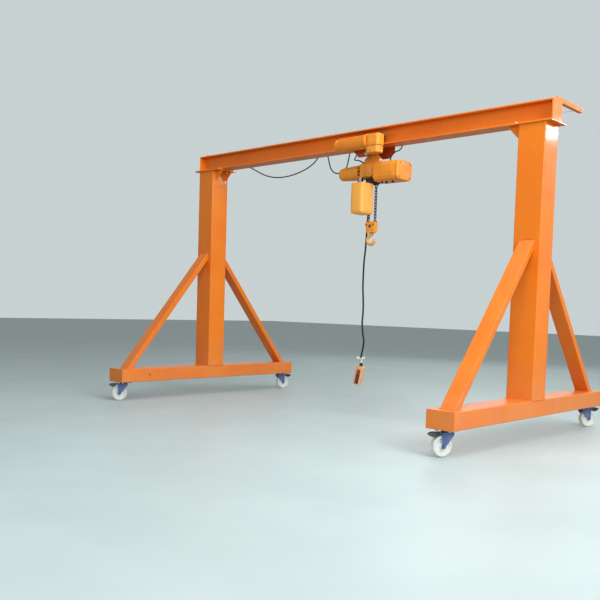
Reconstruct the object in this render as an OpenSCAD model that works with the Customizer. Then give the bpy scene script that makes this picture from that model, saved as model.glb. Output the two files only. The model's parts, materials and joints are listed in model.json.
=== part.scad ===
// Portable gantry crane: an H-section girder on two braced frames with swivel
// casters, and a motor trolley that carries an electric chain hoist.
// Millimetres. Z is up and z = 0 is the floor. X runs along the girder and Y
// along the base beams. The origin is on the floor, midway between the frames.

/* [Crane] */
// Distance between the centres of the two columns
span = 4250; // [3800:10:4600]
// Height of the girder's underside above the floor
under_z = 2775; // [2700:5:2900]

/* [Girder] */
// Height of the H-section
girder_h = 180; // [160:2:220]
// Width of the H-section's flanges
girder_w = 175; // [160:1:186]
// Thickness of the web
web_t = 9; // [7:0.5:12]
// Thickness of each flange
flange_t = 13; // [10:0.5:16]
// Radius between the web and the flanges
root_r = 12; // [8:1:14]
// Thickness of the plate that closes each end
end_plate_t = 12; // [8:1:16]
// How far the girder's end plates stand past the columns
girder_over = 40; // [30:1:55]

/* [Columns] */
// Side of the square column
column_w = 250; // [230:1:270]
// Wall of the column
column_wall = 8; // [6:1:12]
// Thickness of the plate on top of the column
cap_t = 16; // [12:1:20]
// Width of that plate across the girder
cap_w = 290; // [280:1:320]
// How far it stands past the column's outer face
cap_out = 60; // [58:1:80]
// How far it stands past the column's inner face
cap_in = 120; // [100:1:150]
// Height of the ribs under the cap plate
rib_h = 105; // [80:1:130]
// Thickness of those ribs
rib_t = 12; // [8:1:16]
// Distance between the two ribs of a column, centre to centre
rib_gap = 150; // [120:1:180]

/* [Base beams] */
// Length of a base beam with its end plates
base_len = 2800; // [2600:10:3000]
// Height of the base beam's section
base_h = 150; // [130:1:170]
// Wall of the base beam
base_wall = 8; // [6:1:12]
// Radius of the hole near each end of its inner face
base_hole_r = 9; // [7:0.5:14]
// Distance of that hole from the middle of the beam
base_hole_y = 1016; // [980:1:1060]

/* [Braces] */
// Width of the rectangular tube, along the girder
brace_w = 140; // [120:1:160]
// Depth of the rectangular tube
brace_d = 60; // [50:1:70]
// Wall of the rectangular tube
brace_wall = 5; // [4:0.5:7]
// Distance of a brace's toe from the end of the base beam
brace_toe = 100; // [80:1:160]
// Height where a brace's top edge meets the column
brace_top_z = 1760; // [1650:5:1900]

/* [Casters] */
// Diameter of the wheel
wheel_d = 170; // [160:1:172]
// Width of the wheel's tread
wheel_w = 55; // [45:1:60]
// Gap between the wheel and the crown of the fork
crown_gap = 15.5; // [14:0.5:25]
// Distance from the swivel axis to the wheel's axle
caster_trail = 45; // [40:1:50]
// Distance of the swivel axis from the end of the base beam
caster_inset = 105; // [100:1:150]
// Thickness of the fork's pressed legs
fork_t = 6; // [5:0.5:7]
// Diameter of the axle bolt
axle_d = 14; // [12:1:16]
// Length of the brake pedal from the swivel axis to its tip
pedal_reach = 165; // [155:1:170]

/* [Trolley] */
// Where the trolley stands along the girder, from the middle
trolley_x = 350; // [300:1:400]
// Length of the side plates
plate_len = 360; // [340:1:400]
// Thickness of the side plates
plate_t = 12; // [10:1:16]
// Gap between a side plate and the edge of the bottom flange
plate_gap = 14; // [12:0.5:18]
// Diameter of the tread of the running wheels
runner_d = 110; // [100:1:120]
// Distance between the two axles
runner_gap = 250; // [230:1:270]
// Diameter of the load shaft that the hoist hangs from
shaft_d = 38; // [30:1:44]
// Height of the load shaft under the girder
shaft_drop = 70; // [64:1:76]
// Diameter of the drive motor
drive_d = 140; // [130:1:150]
// Length of the drive motor and its gearbox
drive_len = 585; // [560:1:600]

/* [Hoist] */
// Height of the hoist's axis under the girder
hoist_drop = 240; // [236:1:246]
// Diameter of the hoist motor at the gearbox
motor_d = 160; // [150:1:166]
// Length of the hoist motor
motor_len = 255; // [240:1:270]
// Length of the gearbox along the girder
gear_len = 195; // [186:1:205]
// Height of the gearbox
gear_h = 160; // [154:1:166]
// Length of the control housing
control_len = 300; // [280:1:320]
// Height of the control housing
control_h = 196; // [180:1:204]
// Length of the chain bag along the girder
bag_len = 160; // [150:1:170]
// Width of the chain bag across the girder
bag_w = 200; // [180:1:210]
// Height of the chain bag
bag_h = 310; // [280:1:340]

/* [Load chain and hook] */
// Diameter of the chain's wire
link_d = 10; // [8:0.5:11]
// Pitch of the chain
link_p = 30; // [30:1:33]
// Number of links in each fall
links = 12; // [10:1:13]
// Distance between the two falls
fall_gap = 84; // [78:1:88]
// Height of the hook block
block_h = 115; // [105:1:125]
// Length of the hook block across the two falls
block_len = 124; // [118:1:132]
// Radius of the middle of the hook's bowl
hook_r = 46; // [44:1:52]
// Radius of the bend between the hook's shank and its bowl
neck_r = 24; // [20:1:28]
// Radius of the hook's bar
bar_r = 17; // [15:0.5:17]
// Diameter of the shank that turns in the hook block
shank_d = 26; // [22:1:28]

/* [Pendant and cables] */
// Diameter of the pendant's cable
cable_d = 18; // [14:1:20]
// Height of the pendant's case
pendant_h = 205; // [190:1:220]
// Width of the pendant's case
pendant_w = 88; // [76:1:96]
// Depth of the pendant's case
pendant_d = 58; // [50:1:66]
// Diameter of the festoon cable
festoon_d = 14; // [12:1:15]
// Diameter of the cable from the control housing to the trolley
drive_lead_d = 12; // [8:1:13]
// Distance of the festoon wire from the middle of the girder
wire_y = 520; // [500:1:530]
// Diameter of the festoon wire
wire_d = 6; // [5:0.5:8]
// Leg of the angle iron that holds the wire
angle_leg = 40; // [36:1:50]
// Thickness of the angle iron
angle_t = 5; // [4:0.5:6]

/* [Hidden] */
$fn = 48;

ORANGE = "#ee7a2b";
HOIST_ORANGE = "#f79a35";
BAG_YELLOW = "#f8b24e";
BLUE = "#2b579b";
NYLON = "#e9f1f2";
BLACK = "#1c2321";
STEEL = "#9aa0a5";
RED_STEEL = "#8a3320";

// Running gap between a pin and its hole, and between solids that only rest
fit = 0.3;
column_x = span / 2;
outer_x = column_x + column_w / 2;
inner_x = column_x - column_w / 2;
girder_top = under_z + girder_h;
girder_end = outer_x + girder_over;
column_top = under_z - cap_t;

// Caster plate, race and crown, stacked from the base beam down to the wheel
pad_t = 8;
race_d = 84;
race_h = 14;
crown_t = 7;
swivel_gap = 0.5;
caster_h = wheel_d + crown_gap + crown_t + swivel_gap + race_h + pad_t;
base_top = caster_h + base_h;
base_end_t = base_wall;

// Box with one corner and its size
module block(low, size) {
    translate(low) cube(size);
}

// Cylinder along X from x0, at y and z
module rod_x(d, len, x0, y, z) {
    translate([x0, y, z]) rotate([0, 90, 0]) cylinder(d = d, h = len);
}

// Cylinder along Y from y0, at x and z
module rod_y(d, len, x, y0, z) {
    translate([x, y0, z]) rotate([-90, 0, 0]) cylinder(d = d, h = len);
}

// Rectangle with round corners, centred
module round_rect(w, h, r) {
    square([w, h - 2 * r], center = true);
    square([w - 2 * r, h], center = true);
    for (sx = [-1, 1])
        for (sy = [-1, 1])
            translate([sx * (w / 2 - r), sy * (h / 2 - r)]) circle(r);
}

// Solid with a round-cornered section across X, from x0
module loaf_x(len, w, h, r, x0, y, z) {
    translate([x0, y, z]) rotate([90, 0, 90]) linear_extrude(len) round_rect(w, h, r);
}

// Upright solid with a round-cornered plan, from z0
module loaf_z(len, w, h, r, x, y, z0) {
    translate([x, y, z0]) linear_extrude(len) round_rect(w, h, r);
}

// Plate with its outline in X and Z, from y0
module plate_xz(points, t, y0) {
    translate([0, y0 + t, 0]) rotate([90, 0, 0]) linear_extrude(t) polygon(points);
}

// Smooth curve through a cord's route, with n steps between two points
function catmull(a, b, c, d, t) =
    0.5 * (2 * b + (c - a) * t + (2 * a - 5 * b + 4 * c - d) * t * t + (3 * b - a - 3 * c + d) * t * t * t);
function route(p, n) = concat(
    [for (i = [0 : len(p) - 2]) for (k = [0 : n - 1])
        catmull(p[max(i - 1, 0)], p[i], p[i + 1], p[min(i + 2, len(p) - 1)], k / n)],
    [p[len(p) - 1]]);
function unit(v) = v / norm(v);
function heading(q, i, first, last) =
    i == 0 ? first : i == len(q) - 1 ? last : unit(q[i + 1] - q[i - 1]);

// Cord: eight-sided rings along a route, kept level with the direction "side". Its
// end rings face along "first" and "last", so that they lie flat on what they meet.
module cord(points, d, n, side, first, last) {
    q = route(points, n);
    sides = 8;
    rings = [for (i = [0 : len(q) - 1])
        let (t = heading(q, i, first, last), u = unit(cross(side, t)), v = cross(t, u))
        for (k = [0 : sides - 1]) q[i] + d / 2 * (cos(k * 360 / sides) * u + sin(k * 360 / sides) * v)];
    skin = [for (i = [0 : len(q) - 2]) for (k = [0 : sides - 1])
        [i * sides + k, i * sides + (k + 1) % sides,
            (i + 1) * sides + (k + 1) % sides, (i + 1) * sides + k]];
    end_ring = (len(q) - 1) * sides;
    polyhedron(points = rings, faces = concat(skin, [[for (k = [sides - 1 : -1 : 0]) k]],
        [[for (k = [0 : sides - 1]) end_ring + k]]), convexity = 6);
}

// Girder
module section_h() {
    square([girder_w, flange_t]);
    translate([0, girder_h - flange_t]) square([girder_w, flange_t]);
    translate([girder_w / 2 - web_t / 2, 0]) square([web_t, girder_h]);
    for (side = [0, 1])
        for (top = [0, 1])
            translate([girder_w / 2, girder_h / 2])
                mirror([side, 0]) mirror([0, top])
                    translate([web_t / 2, flange_t - girder_h / 2])
                        difference() {
                            square(root_r);
                            translate([root_r, root_r]) circle(root_r);
                        }
}

module girder() {
    color(ORANGE)
        translate([end_plate_t - girder_end, -girder_w / 2, under_z])
            rotate([90, 0, 90]) linear_extrude(2 * (girder_end - end_plate_t)) section_h();
}

module girder_end_plates() {
    color(ORANGE)
        for (side = [-1, 1])
            translate([side * (girder_end - end_plate_t / 2), 0, under_z + girder_h / 2])
                cube([end_plate_t, girder_w, girder_h], center = true);
}

// Festoon on the far side of the girder
bracket_x = outer_x;
bracket_reach = wire_y + angle_leg;
wire_z = girder_top + 23;
clip_len = 40;
cheek_t = 5;
cable_z = wire_z - 40;
anchor_x = 60 - bracket_x;
slider_x = -790;
tow_x = trolley_x - 680;

module festoon_brackets() {
    color(ORANGE)
        for (side = [-1, 1])
            mirror([side < 0 ? 1 : 0, 0, 0])
                translate([bracket_x - angle_leg / 2, 0, girder_top])
                    difference() {
                        union() {
                            cube([angle_leg, bracket_reach, angle_t]);
                            translate([angle_leg - angle_t, 0, 0])
                                cube([angle_t, bracket_reach, angle_leg]);
                        }
                        rod_x(wire_d + 2 * fit, angle_leg + 1, 0, wire_y, wire_z - girder_top);
                    }
}

module festoon_wire() {
    nut_d = 16;
    nut_t = 8;
    wire_end = bracket_x + angle_leg / 2 + nut_t + 4;
    color(STEEL) {
        rod_x(wire_d, 2 * wire_end, -wire_end, wire_y, wire_z);
        for (side = [-1, 1])
            translate([side * (bracket_x + (angle_leg + nut_t) / 2), wire_y, wire_z])
                rotate([0, 90, 0]) cylinder(d = nut_d, h = nut_t, center = true, $fn = 6);
    }
}

// Clip that rides on the wire and holds the cable between its cheeks
module festoon_clip(x) {
    head_low = cable_z + festoon_d / 2;
    head_w = festoon_d + 2 * fit + 2 * cheek_t;
    difference() {
        union() {
            block([x - clip_len / 2, wire_y - head_w / 2, head_low], [clip_len, head_w, wire_z + 10 - head_low]);
            for (side = [-1, 1])
                translate([x, wire_y + side * (head_w - cheek_t) / 2, cable_z + 1])
                    cube([clip_len, cheek_t, festoon_d + 2], center = true);
        }
        rod_x(wire_d + 2 * fit, clip_len + 2, x - clip_len / 2 - 1, wire_y, wire_z);
    }
}

module festoon_anchor() { color(BLACK) festoon_clip(anchor_x); }
module festoon_slider() { color(BLACK) festoon_clip(slider_x); }

// Route of the festoon cable, from the anchor clip to the clip that the trolley tows
festoon_route = [[-2210, 520, 2938], [-2170, 520, 2936], [-2110, 520, 2924], [-2030, 520, 2896],
    [-1920, 520, 2845], [-1780, 520, 2780], [-1640, 520, 2736], [-1500, 520, 2716],
    [-1350, 520, 2716], [-1200, 520, 2736], [-1060, 520, 2772], [-950, 520, 2820],
    [-880, 520, 2875], [-838, 520, 2922], [-790, 520, 2938], [-742, 520, 2922],
    [-712, 520, 2875], [-690, 520, 2805], [-660, 520, 2735], [-610, 520, 2690],
    [-540, 520, 2675], [-470, 520, 2692], [-425, 520, 2745], [-404, 520, 2820],
    [-388, 520, 2884], [-360, 520, 2924], [-310, 520, 2938]];

module festoon_cable() {
    color(BLACK) cord(festoon_route, festoon_d, 2, [0, 1, 0], [1, 0, 0], [1, 0, 0]);
}

// Columns
module column(side) {
    color(ORANGE)
        translate([side * column_x, 0, base_top])
            linear_extrude(column_top - base_top)
                difference() {
                    square(column_w, center = true);
                    square(column_w - 2 * column_wall, center = true);
                }
}

module column_left() { column(-1); }
module column_right() { column(1); }

module column_cap_plates() {
    color(ORANGE)
        for (side = [-1, 1])
            mirror([side < 0 ? 1 : 0, 0, 0]) {
                block([inner_x - cap_in, -cap_w / 2, column_top], [column_w + cap_in + cap_out, cap_w, cap_t]);
                for (y = [-rib_gap / 2, rib_gap / 2])
                    plate_xz([[inner_x, column_top], [inner_x, column_top - rib_h],
                        [inner_x - cap_in * 0.2, column_top - rib_h],
                        [inner_x - cap_in * 0.95, column_top - rib_t], [inner_x - cap_in * 0.95, column_top]],
                        rib_t, y - rib_t / 2);
            }
}

// Base beams
module base_beam(side) {
    color(ORANGE)
        difference() {
            translate([side * column_x, base_len / 2 - base_end_t, caster_h + base_h / 2])
                rotate([90, 0, 0]) linear_extrude(base_len - 2 * base_end_t)
                    difference() {
                        square([column_w, base_h], center = true);
                        square([column_w - 2 * base_wall, base_h - 2 * base_wall], center = true);
                    }
            for (y = [-base_hole_y, base_hole_y])
                translate([side * (inner_x + base_wall / 2), y, caster_h + base_h / 2]) rotate([0, 90, 0])
                    cylinder(r = base_hole_r, h = 2 * base_wall, center = true);
        }
}

module base_beam_left() { base_beam(-1); }
module base_beam_right() { base_beam(1); }

module base_end_plates() {
    color(ORANGE)
        for (sx = [-1, 1])
            for (sy = [-1, 1])
                translate([sx * column_x, sy * (base_len - base_end_t) / 2, caster_h + base_h / 2])
                    cube([column_w, base_end_t, base_h], center = true);
}

// Braces: rectangular tubes, mitred on the base beam and on the column
foot_y = base_len / 2 - brace_toe;
brace_rise = brace_top_z - base_top;
brace_run = foot_y - column_w / 2;
brace_angle = atan2(brace_rise, brace_run);

// Outline in Y and Z of a brace's stretch between two depths under its top edge,
// let run past its ends by over
function brace_outline(d0, d1, over) = let (
    z0 = d0 / cos(brace_angle), z1 = d1 / cos(brace_angle),
    slope = tan(brace_angle), ya = foot_y + over / slope, yb = column_w / 2 - over / slope) [
    [ya - z0 / slope, base_top - over], [yb, brace_top_z + over - z0],
    [yb, brace_top_z + over - z1], [ya - z1 / slope, base_top - over]];

module brace(side, end) {
    translate([side * column_x, 0, 0])
        mirror([0, end < 0 ? 1 : 0, 0])
            difference() {
                translate([-brace_w / 2, 0, 0]) rotate([90, 0, 90])
                    linear_extrude(brace_w) polygon(brace_outline(0, brace_d, 0));
                translate([brace_wall - brace_w / 2, 0, 0]) rotate([90, 0, 90])
                    linear_extrude(brace_w - 2 * brace_wall)
                        polygon(brace_outline(brace_wall, brace_d - brace_wall, 40));
            }
}

module braces_left() { color(ORANGE) for (end = [-1, 1]) brace(-1, end); }
module braces_right() { color(ORANGE) for (end = [-1, 1]) brace(1, end); }

// Casters: each is drawn with its swivel axis at the origin and its wheel trailing to +X
crown_z = wheel_d + crown_gap;
pin_d = 18;
leg_in = wheel_w / 2 + 7;
axle_z = wheel_d / 2;
caster_y = base_len / 2 - caster_inset;

// Turn of each caster about its swivel axis
function caster_turn(side, end) = (end < 0 ? 0 : 180) + (side * end < 0 ? -113 : -120);

module at_caster(side, end) {
    translate([side * column_x, end * caster_y, 0]) rotate([0, 0, caster_turn(side, end)]) children();
}

module caster_plates() {
    pad_w = 150;
    pad_l = 130;
    color(BLACK)
        for (side = [-1, 1])
            for (end = [-1, 1])
                translate([side * column_x, end * caster_y, 0]) {
                    loaf_z(pad_t, pad_w, pad_l, 10, 0, 0, caster_h - pad_t);
                    translate([0, 0, caster_h - pad_t - race_h]) cylinder(d = race_d, h = race_h);
                    translate([0, 0, crown_z - 3]) cylinder(d = pin_d, h = 2 * crown_t);
                    translate([0, 0, crown_z - swivel_gap - 5]) cylinder(d = 28, h = 5, $fn = 6);
                }
}

// Leg of the fork: wide at the crown and round at the axle
module fork_leg() {
    boss_r = 17;
    difference() {
        union() {
            polygon([[-46, crown_z + 1], [62, crown_z + 1], [60, crown_z - 18],
                [caster_trail + boss_r, axle_z], [caster_trail - boss_r, axle_z], [-44, crown_z - 16]]);
            translate([caster_trail, axle_z]) circle(boss_r);
        }
        translate([caster_trail, axle_z]) circle(d = axle_d);
    }
}

module fork() {
    nut_h = 9;
    half = leg_in + fork_t;
    color(BLUE) {
        difference() {
            translate([8, 0, crown_z]) linear_extrude(crown_t) round_rect(112, 2 * half, 14);
            translate([0, 0, crown_z - 1]) cylinder(d = pin_d + 2 * fit, h = crown_t + 2);
        }
        for (side = [-1, 1])
            translate([0, side > 0 ? half : -leg_in, 0]) rotate([90, 0, 0])
                linear_extrude(fork_t) fork_leg();
    }
    color(STEEL) {
        rod_y(axle_d, 2 * half + 2 * nut_h, caster_trail, -half - nut_h, axle_z);
        for (y = [-half - nut_h, half])
            translate([caster_trail, y, axle_z]) rotate([-90, 0, 0]) cylinder(d = 24, h = nut_h, $fn = 6);
    }
}

module wheel() {
    r = wheel_d / 2;
    hub_r = 24;
    rim_r = r - 18;
    hub_w = wheel_w / 2 + 4;
    web_w = 9;
    color(NYLON)
        translate([caster_trail, 0, axle_z]) rotate([90, 0, 0])
            rotate_extrude($fn = 96)
                polygon([[axle_d / 2 + fit, -hub_w], [hub_r, -hub_w], [hub_r + 3, -web_w],
                    [rim_r - 4, -web_w], [rim_r, 3 - wheel_w / 2], [rim_r + 3, -wheel_w / 2],
                    [r - 6, -wheel_w / 2], [r - 1, 7 - wheel_w / 2], [r, 14 - wheel_w / 2],
                    [r, wheel_w / 2 - 14], [r - 1, wheel_w / 2 - 7], [r - 6, wheel_w / 2],
                    [rim_r + 3, wheel_w / 2], [rim_r, wheel_w / 2 - 3], [rim_r - 4, web_w],
                    [hub_r + 3, web_w], [hub_r, hub_w], [axle_d / 2 + fit, hub_w]]);
}

// Brake pedal: a leaf with its belly down, on a pin behind the fork's crown
pedal_pin_x = 80;
pedal_pin_z = crown_z + 1;
pedal_pin_d = 8;
pedal_w = 46;

module pedal() {
    color(BLACK) {
        rod_y(pedal_pin_d + 6, pedal_w, pedal_pin_x, -pedal_w / 2, pedal_pin_z);
        plate_xz([[pedal_pin_x, pedal_pin_z + 6], [pedal_pin_x + 30, pedal_pin_z + 10],
            [pedal_reach - 26, pedal_pin_z + 8], [pedal_reach, pedal_pin_z - 4],
            [pedal_reach - 14, pedal_pin_z - 18], [pedal_pin_x + 46, pedal_pin_z - 31],
            [pedal_pin_x + 30, pedal_pin_z - 30], [pedal_pin_x + 14, pedal_pin_z - 20],
            [pedal_pin_x, pedal_pin_z - 6]],
            pedal_w, -pedal_w / 2);
    }
}

// Ears and pin that carry the pedal, part of the fork
module pedal_ears() {
    ear_t = 6;
    color(BLUE)
        for (side = [-1, 1])
            translate([0, side * (pedal_w / 2 + 1 + ear_t / 2) + ear_t / 2, 0]) rotate([90, 0, 0])
                linear_extrude(ear_t) {
                    polygon([[60, crown_z], [60, crown_z + crown_t], [pedal_pin_x, pedal_pin_z + 8],
                        [pedal_pin_x, pedal_pin_z - 8]]);
                    translate([pedal_pin_x, pedal_pin_z]) circle(8);
                }
    color(STEEL)
        rod_y(pedal_pin_d, pedal_w + 16, pedal_pin_x, -pedal_w / 2 - 8, pedal_pin_z);
}

module caster_fork(side, end) {
    at_caster(side, end) {
        fork();
        pedal_ears();
    }
}

module caster_wheel(side, end) {
    at_caster(side, end) wheel();
}

module brake_pedal(side, end) {
    at_caster(side, end)
        difference() {
            pedal();
            rod_y(pedal_pin_d + 2 * fit, pedal_w + 2, pedal_pin_x, -pedal_w / 2 - 1, pedal_pin_z);
        }
}

module caster_fork_near_left() { caster_fork(-1, -1); }
module caster_fork_near_right() { caster_fork(1, -1); }
module caster_fork_far_left() { caster_fork(-1, 1); }
module caster_fork_far_right() { caster_fork(1, 1); }
module caster_wheel_near_left() { caster_wheel(-1, -1); }
module caster_wheel_near_right() { caster_wheel(1, -1); }
module caster_wheel_far_left() { caster_wheel(-1, 1); }
module caster_wheel_far_right() { caster_wheel(1, 1); }
module brake_pedal_near_left() { brake_pedal(-1, -1); }
module brake_pedal_near_right() { brake_pedal(1, -1); }
module brake_pedal_far_left() { brake_pedal(-1, 1); }
module brake_pedal_far_right() { brake_pedal(1, 1); }

// Trolley
plate_y = girder_w / 2 + plate_gap;
runner_z = under_z + flange_t + fit + runner_d / 2;
runner_w = 34;
runner_lip = 8;
lip_h = 9;
tread_y = girder_w / 2 + 2;
stub_in = tread_y - runner_w - 6;
stub_len = plate_y + plate_t - stub_in;
shaft_z = under_z - shaft_drop;
plate_drop = 105;
plate_rise = 92;
plate_low = under_z - plate_drop;
plate_high = under_z + plate_rise;
stub_d = 24;

module trolley_plate(side) {
    half = plate_len / 2;
    low_half = half * 0.62;
    color(RED_STEEL)
        translate([trolley_x, 0, 0])
            difference() {
                union() {
                    plate_xz([[-half, plate_high - 24], [24 - half, plate_high], [half - 24, plate_high],
                        [half, plate_high - 24], [half, under_z - 40], [low_half, plate_low],
                        [-low_half, plate_low], [-half, under_z - 40]],
                        plate_t, side > 0 ? plate_y : -plate_y - plate_t);
                    for (x = [-runner_gap / 2, runner_gap / 2])
                        rod_y(stub_d, stub_len, x, side > 0 ? stub_in : -stub_in - stub_len, runner_z);
                }
                rod_y(shaft_d + 2 * fit, plate_t + 2, 0,
                    side > 0 ? plate_y - 1 : -plate_y - plate_t - 1, shaft_z);
            }
}

module trolley_plate_near() { trolley_plate(-1); }

// The far plate carries the block that the drive's lead ends in
module trolley_plate_far() {
    gland = 30;
    gland_x = plate_len * 0.4;
    gland_rise = 60;
    gland_out = 33.5;
    trolley_plate(1);
    color(BLACK)
        block([trolley_x + gland_x, plate_y + plate_t, under_z + gland_rise], [gland, gland_out, gland]);
}

// The two running wheels of one axle line, near and far
module trolley_wheels(side) {
    color(STEEL)
        for (end = [-1, 1])
            translate([trolley_x + side * runner_gap / 2, 0, runner_z])
                mirror([0, end < 0 ? 1 : 0, 0]) rotate([-90, 0, 0])
                    rotate_extrude($fn = 72)
                        polygon([[stub_d / 2 + fit, tread_y - runner_w],
                            [runner_d / 2 - 3, tread_y - runner_w],
                            [runner_d / 2, tread_y - runner_w + 3], [runner_d / 2, tread_y],
                            [runner_d / 2 + lip_h, tread_y + 2],
                            [runner_d / 2 + lip_h, tread_y + runner_lip],
                            [stub_d / 2 + fit, tread_y + runner_lip]]);
}

module trolley_wheels_left() { trolley_wheels(-1); }
module trolley_wheels_right() { trolley_wheels(1); }

module load_shaft() {
    nut_t = 18;
    half = plate_y + plate_t;
    color(STEEL) {
        rod_y(shaft_d, 2 * half + 2 * nut_t, trolley_x, -half - nut_t, shaft_z);
        for (y = [-half - nut_t, half])
            translate([trolley_x, y, shaft_z]) rotate([-90, 0, 0]) cylinder(d = 58, h = nut_t, $fn = 6);
    }
}

// Drive: motor along the girder, and a stepped gearbox with its neck on the near side plate
drive_x = trolley_x - 325;
drive_z = under_z + 20;
drive_out = 86.5;
drive_y = -plate_y - plate_t - drive_out;

module drive_motor() {
    cap_len = 40;
    flange_len = 16;
    box_len = 180;
    box_w = 120;
    box_high = 60;
    box_low = 59;
    foot_len = 188;
    foot_w = 112;
    foot_low = 125;
    neck_d = 110;
    box_x = drive_x + drive_len - box_len;
    neck_x = box_x + 40;
    foot_x = box_x + 70;
    color(HOIST_ORANGE) {
        rod_x(drive_d, box_x - drive_x - cap_len, drive_x + cap_len, drive_y, drive_z);
        rod_x(drive_d - 16, cap_len + 1, drive_x, drive_y, drive_z);
        rod_x(drive_d + 10, flange_len, box_x - flange_len + 1, drive_y, drive_z);
        loaf_z(box_high + box_low, box_len, box_w, 20, box_x + box_len / 2, drive_y, drive_z - box_low);
        loaf_z(foot_low - box_low + 1, foot_len, foot_w, 26, foot_x, drive_y, drive_z - foot_low);
        rod_y(neck_d, drive_out, neck_x, drive_y, drive_z);
    }
}

// Arm on the far side plate that tows the festoon's last clip
arm_x = trolley_x - plate_len / 2 + 40;
arm_z = girder_top;

module tow_arm() {
    foot_y = plate_y + plate_t;
    bar_w = 30;
    bar_t = 8;
    clip_y = wire_y - festoon_d / 2;
    color(STEEL) {
        block([arm_x - bar_w / 2, foot_y, under_z + 20], [bar_w, bar_t, arm_z - under_z - 20]);
        translate([0, 0, arm_z]) linear_extrude(bar_t)
            polygon([[arm_x - bar_w / 2, foot_y], [arm_x + bar_w / 2, foot_y],
                [arm_x + bar_w / 2, foot_y + bar_t], [tow_x + clip_len / 2, clip_y],
                [tow_x - clip_len / 2, clip_y]]);
    }
    color(BLACK) festoon_clip(tow_x);
}

// Route of the lead, from the towed clip to the gland on the hoist
lead_route = [[-310, 520, 2938], [-265, 512, 2928], [-228, 480, 2890], [-205, 430, 2842],
    [-182, 370, 2798], [-148, 310, 2762], [-95, 250, 2735], [-25, 190, 2718],
    [45, 130, 2700], [105, 92, 2678], [170, 66, 2650], [215, 56, 2635], [250, 55, 2633]];

module trolley_lead() {
    color(BLACK) cord(lead_route, festoon_d, 2, [0.5, 0.5, 0.1], [1, 0, 0], [1, 0, 0]);
}

// Route of the drive's lead, from the control housing up to the far side plate
drive_route = [[528, 40, 2630], [529, 41, 2652], [540, 45, 2682], [554, 53, 2701], [564, 70, 2720],
    [583, 107, 2740], [602, 120, 2764], [612, 122, 2795], [605, 125, 2824], [586, 129, 2843],
    [561, 132, 2850], [524, 132, 2850]];

module drive_lead() {
    color(BLACK) cord(drive_route, drive_lead_d, 2, [0, 1, 0], [0, 0, 1], [-1, 0, 0]);
}

// Hoist
hoist_z = under_z - hoist_drop;
gear_x = trolley_x - 105;
control_x = gear_x + gear_len;
gear_w = 190;
gear_r = 36;
gear_low = hoist_z - gear_h / 2;
gear_top = hoist_z + gear_h / 2;
guide_h = 52;
lantern_len = 60;

// Chain bag in front of the falls, hung from two gussets under the gearbox
bag_x = trolley_x - 32;
bag_y = -133.5;
bag_drop = 60;
bag_top = gear_low - bag_drop;
bag_r = 24;

module hoist_hanger() {
    t = 60;
    eye_r = shaft_d / 2 + 22;
    foot = 40;
    color(HOIST_ORANGE)
        difference() {
            union() {
                plate_xz([[trolley_x - 100, gear_top], [trolley_x - 100, gear_top + foot],
                    [trolley_x - eye_r, shaft_z], [trolley_x + eye_r, shaft_z],
                    [trolley_x + 86, gear_top + foot], [trolley_x + 86, gear_top]], t, -t / 2);
                rod_y(2 * eye_r, t, trolley_x, -t / 2, shaft_z);
            }
            rod_y(shaft_d + 2 * fit, t + 2, trolley_x, -t / 2 - 1, shaft_z);
        }
}

// Open lantern between the gearbox and the motor: a core, a ring and ribs
module lantern() {
    core_d = 116;
    ring_t = 9;
    rib_t = 9;
    ribs = 12;
    rib_low = 50;
    x0 = gear_x - lantern_len;
    rod_x(core_d, lantern_len + 1, x0, 0, hoist_z);
    rod_x(motor_d, ring_t, x0, 0, hoist_z);
    for (i = [0 : ribs - 1])
        translate([x0, 0, hoist_z]) rotate([(i + 0.5) * 360 / ribs, 0, 0])
            translate([0, -rib_t / 2, rib_low]) cube([lantern_len + 1, rib_t, motor_d / 2 - 1 - rib_low]);
}

// Gearbox with its round cover, the chain's guide, the bag's gussets and two glands
module hoist_gearbox() {
    guide_len = fall_gap + 60;
    guide_w = 64;
    cover_at = [trolley_x + 25, hoist_z - 5];
    cover_d = 130;
    cover_y = -gear_w / 2 - 12;
    boss_d = 70;
    boss_y = cover_y - 8;
    gusset_t = 5;
    gland = 40;
    lead_end = lead_route[len(lead_route) - 1];
    color(HOIST_ORANGE) {
        loaf_x(gear_len, gear_w, gear_h, gear_r, gear_x, 0, hoist_z);
        lantern();
        rod_y(cover_d, 40, cover_at[0], cover_y, cover_at[1]);
        rod_y(boss_d, 20, cover_at[0], boss_y, cover_at[1]);
    }
    color(BLACK) {
        block([trolley_x - guide_len / 2, -guide_w / 2, gear_low - guide_h], [guide_len, guide_w, guide_h + 1]);
        for (x = [bag_x - bag_len / 2 + 8, bag_x + bag_len / 2 - 8 - gusset_t])
            translate([x, 0, 0]) rotate([90, 0, 90]) linear_extrude(gusset_t)
                polygon([[-35, gear_low + 10], [-80, gear_low + 10], [-160, bag_top + fit],
                    [-35, bag_top + fit]]);
        block([lead_end[0], lead_end[1] - gland / 2, gear_top - 2],
            [gland, gland, lead_end[2] + gland / 2 - gear_top]);
        translate(pendant_exit) cylinder(d = 30, h = gear_low + 24 - pendant_exit[2]);
    }
}

// Motor: a tapering shell with a domed end
module hoist_motor() {
    end_r = motor_d / 2 - 12;
    cap_r = end_r - 3;
    cap_len = 46;
    color(HOIST_ORANGE)
        translate([gear_x - lantern_len - motor_len, 0, hoist_z]) rotate([0, 90, 0])
            rotate_extrude($fn = 72)
                polygon([[0, 0], [cap_r - 30, 0], [cap_r - 14, 4], [cap_r - 4, 14], [cap_r, 28],
                    [cap_r, cap_len], [end_r, cap_len], [motor_d / 2, motor_len], [0, motor_len]]);
}

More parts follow.
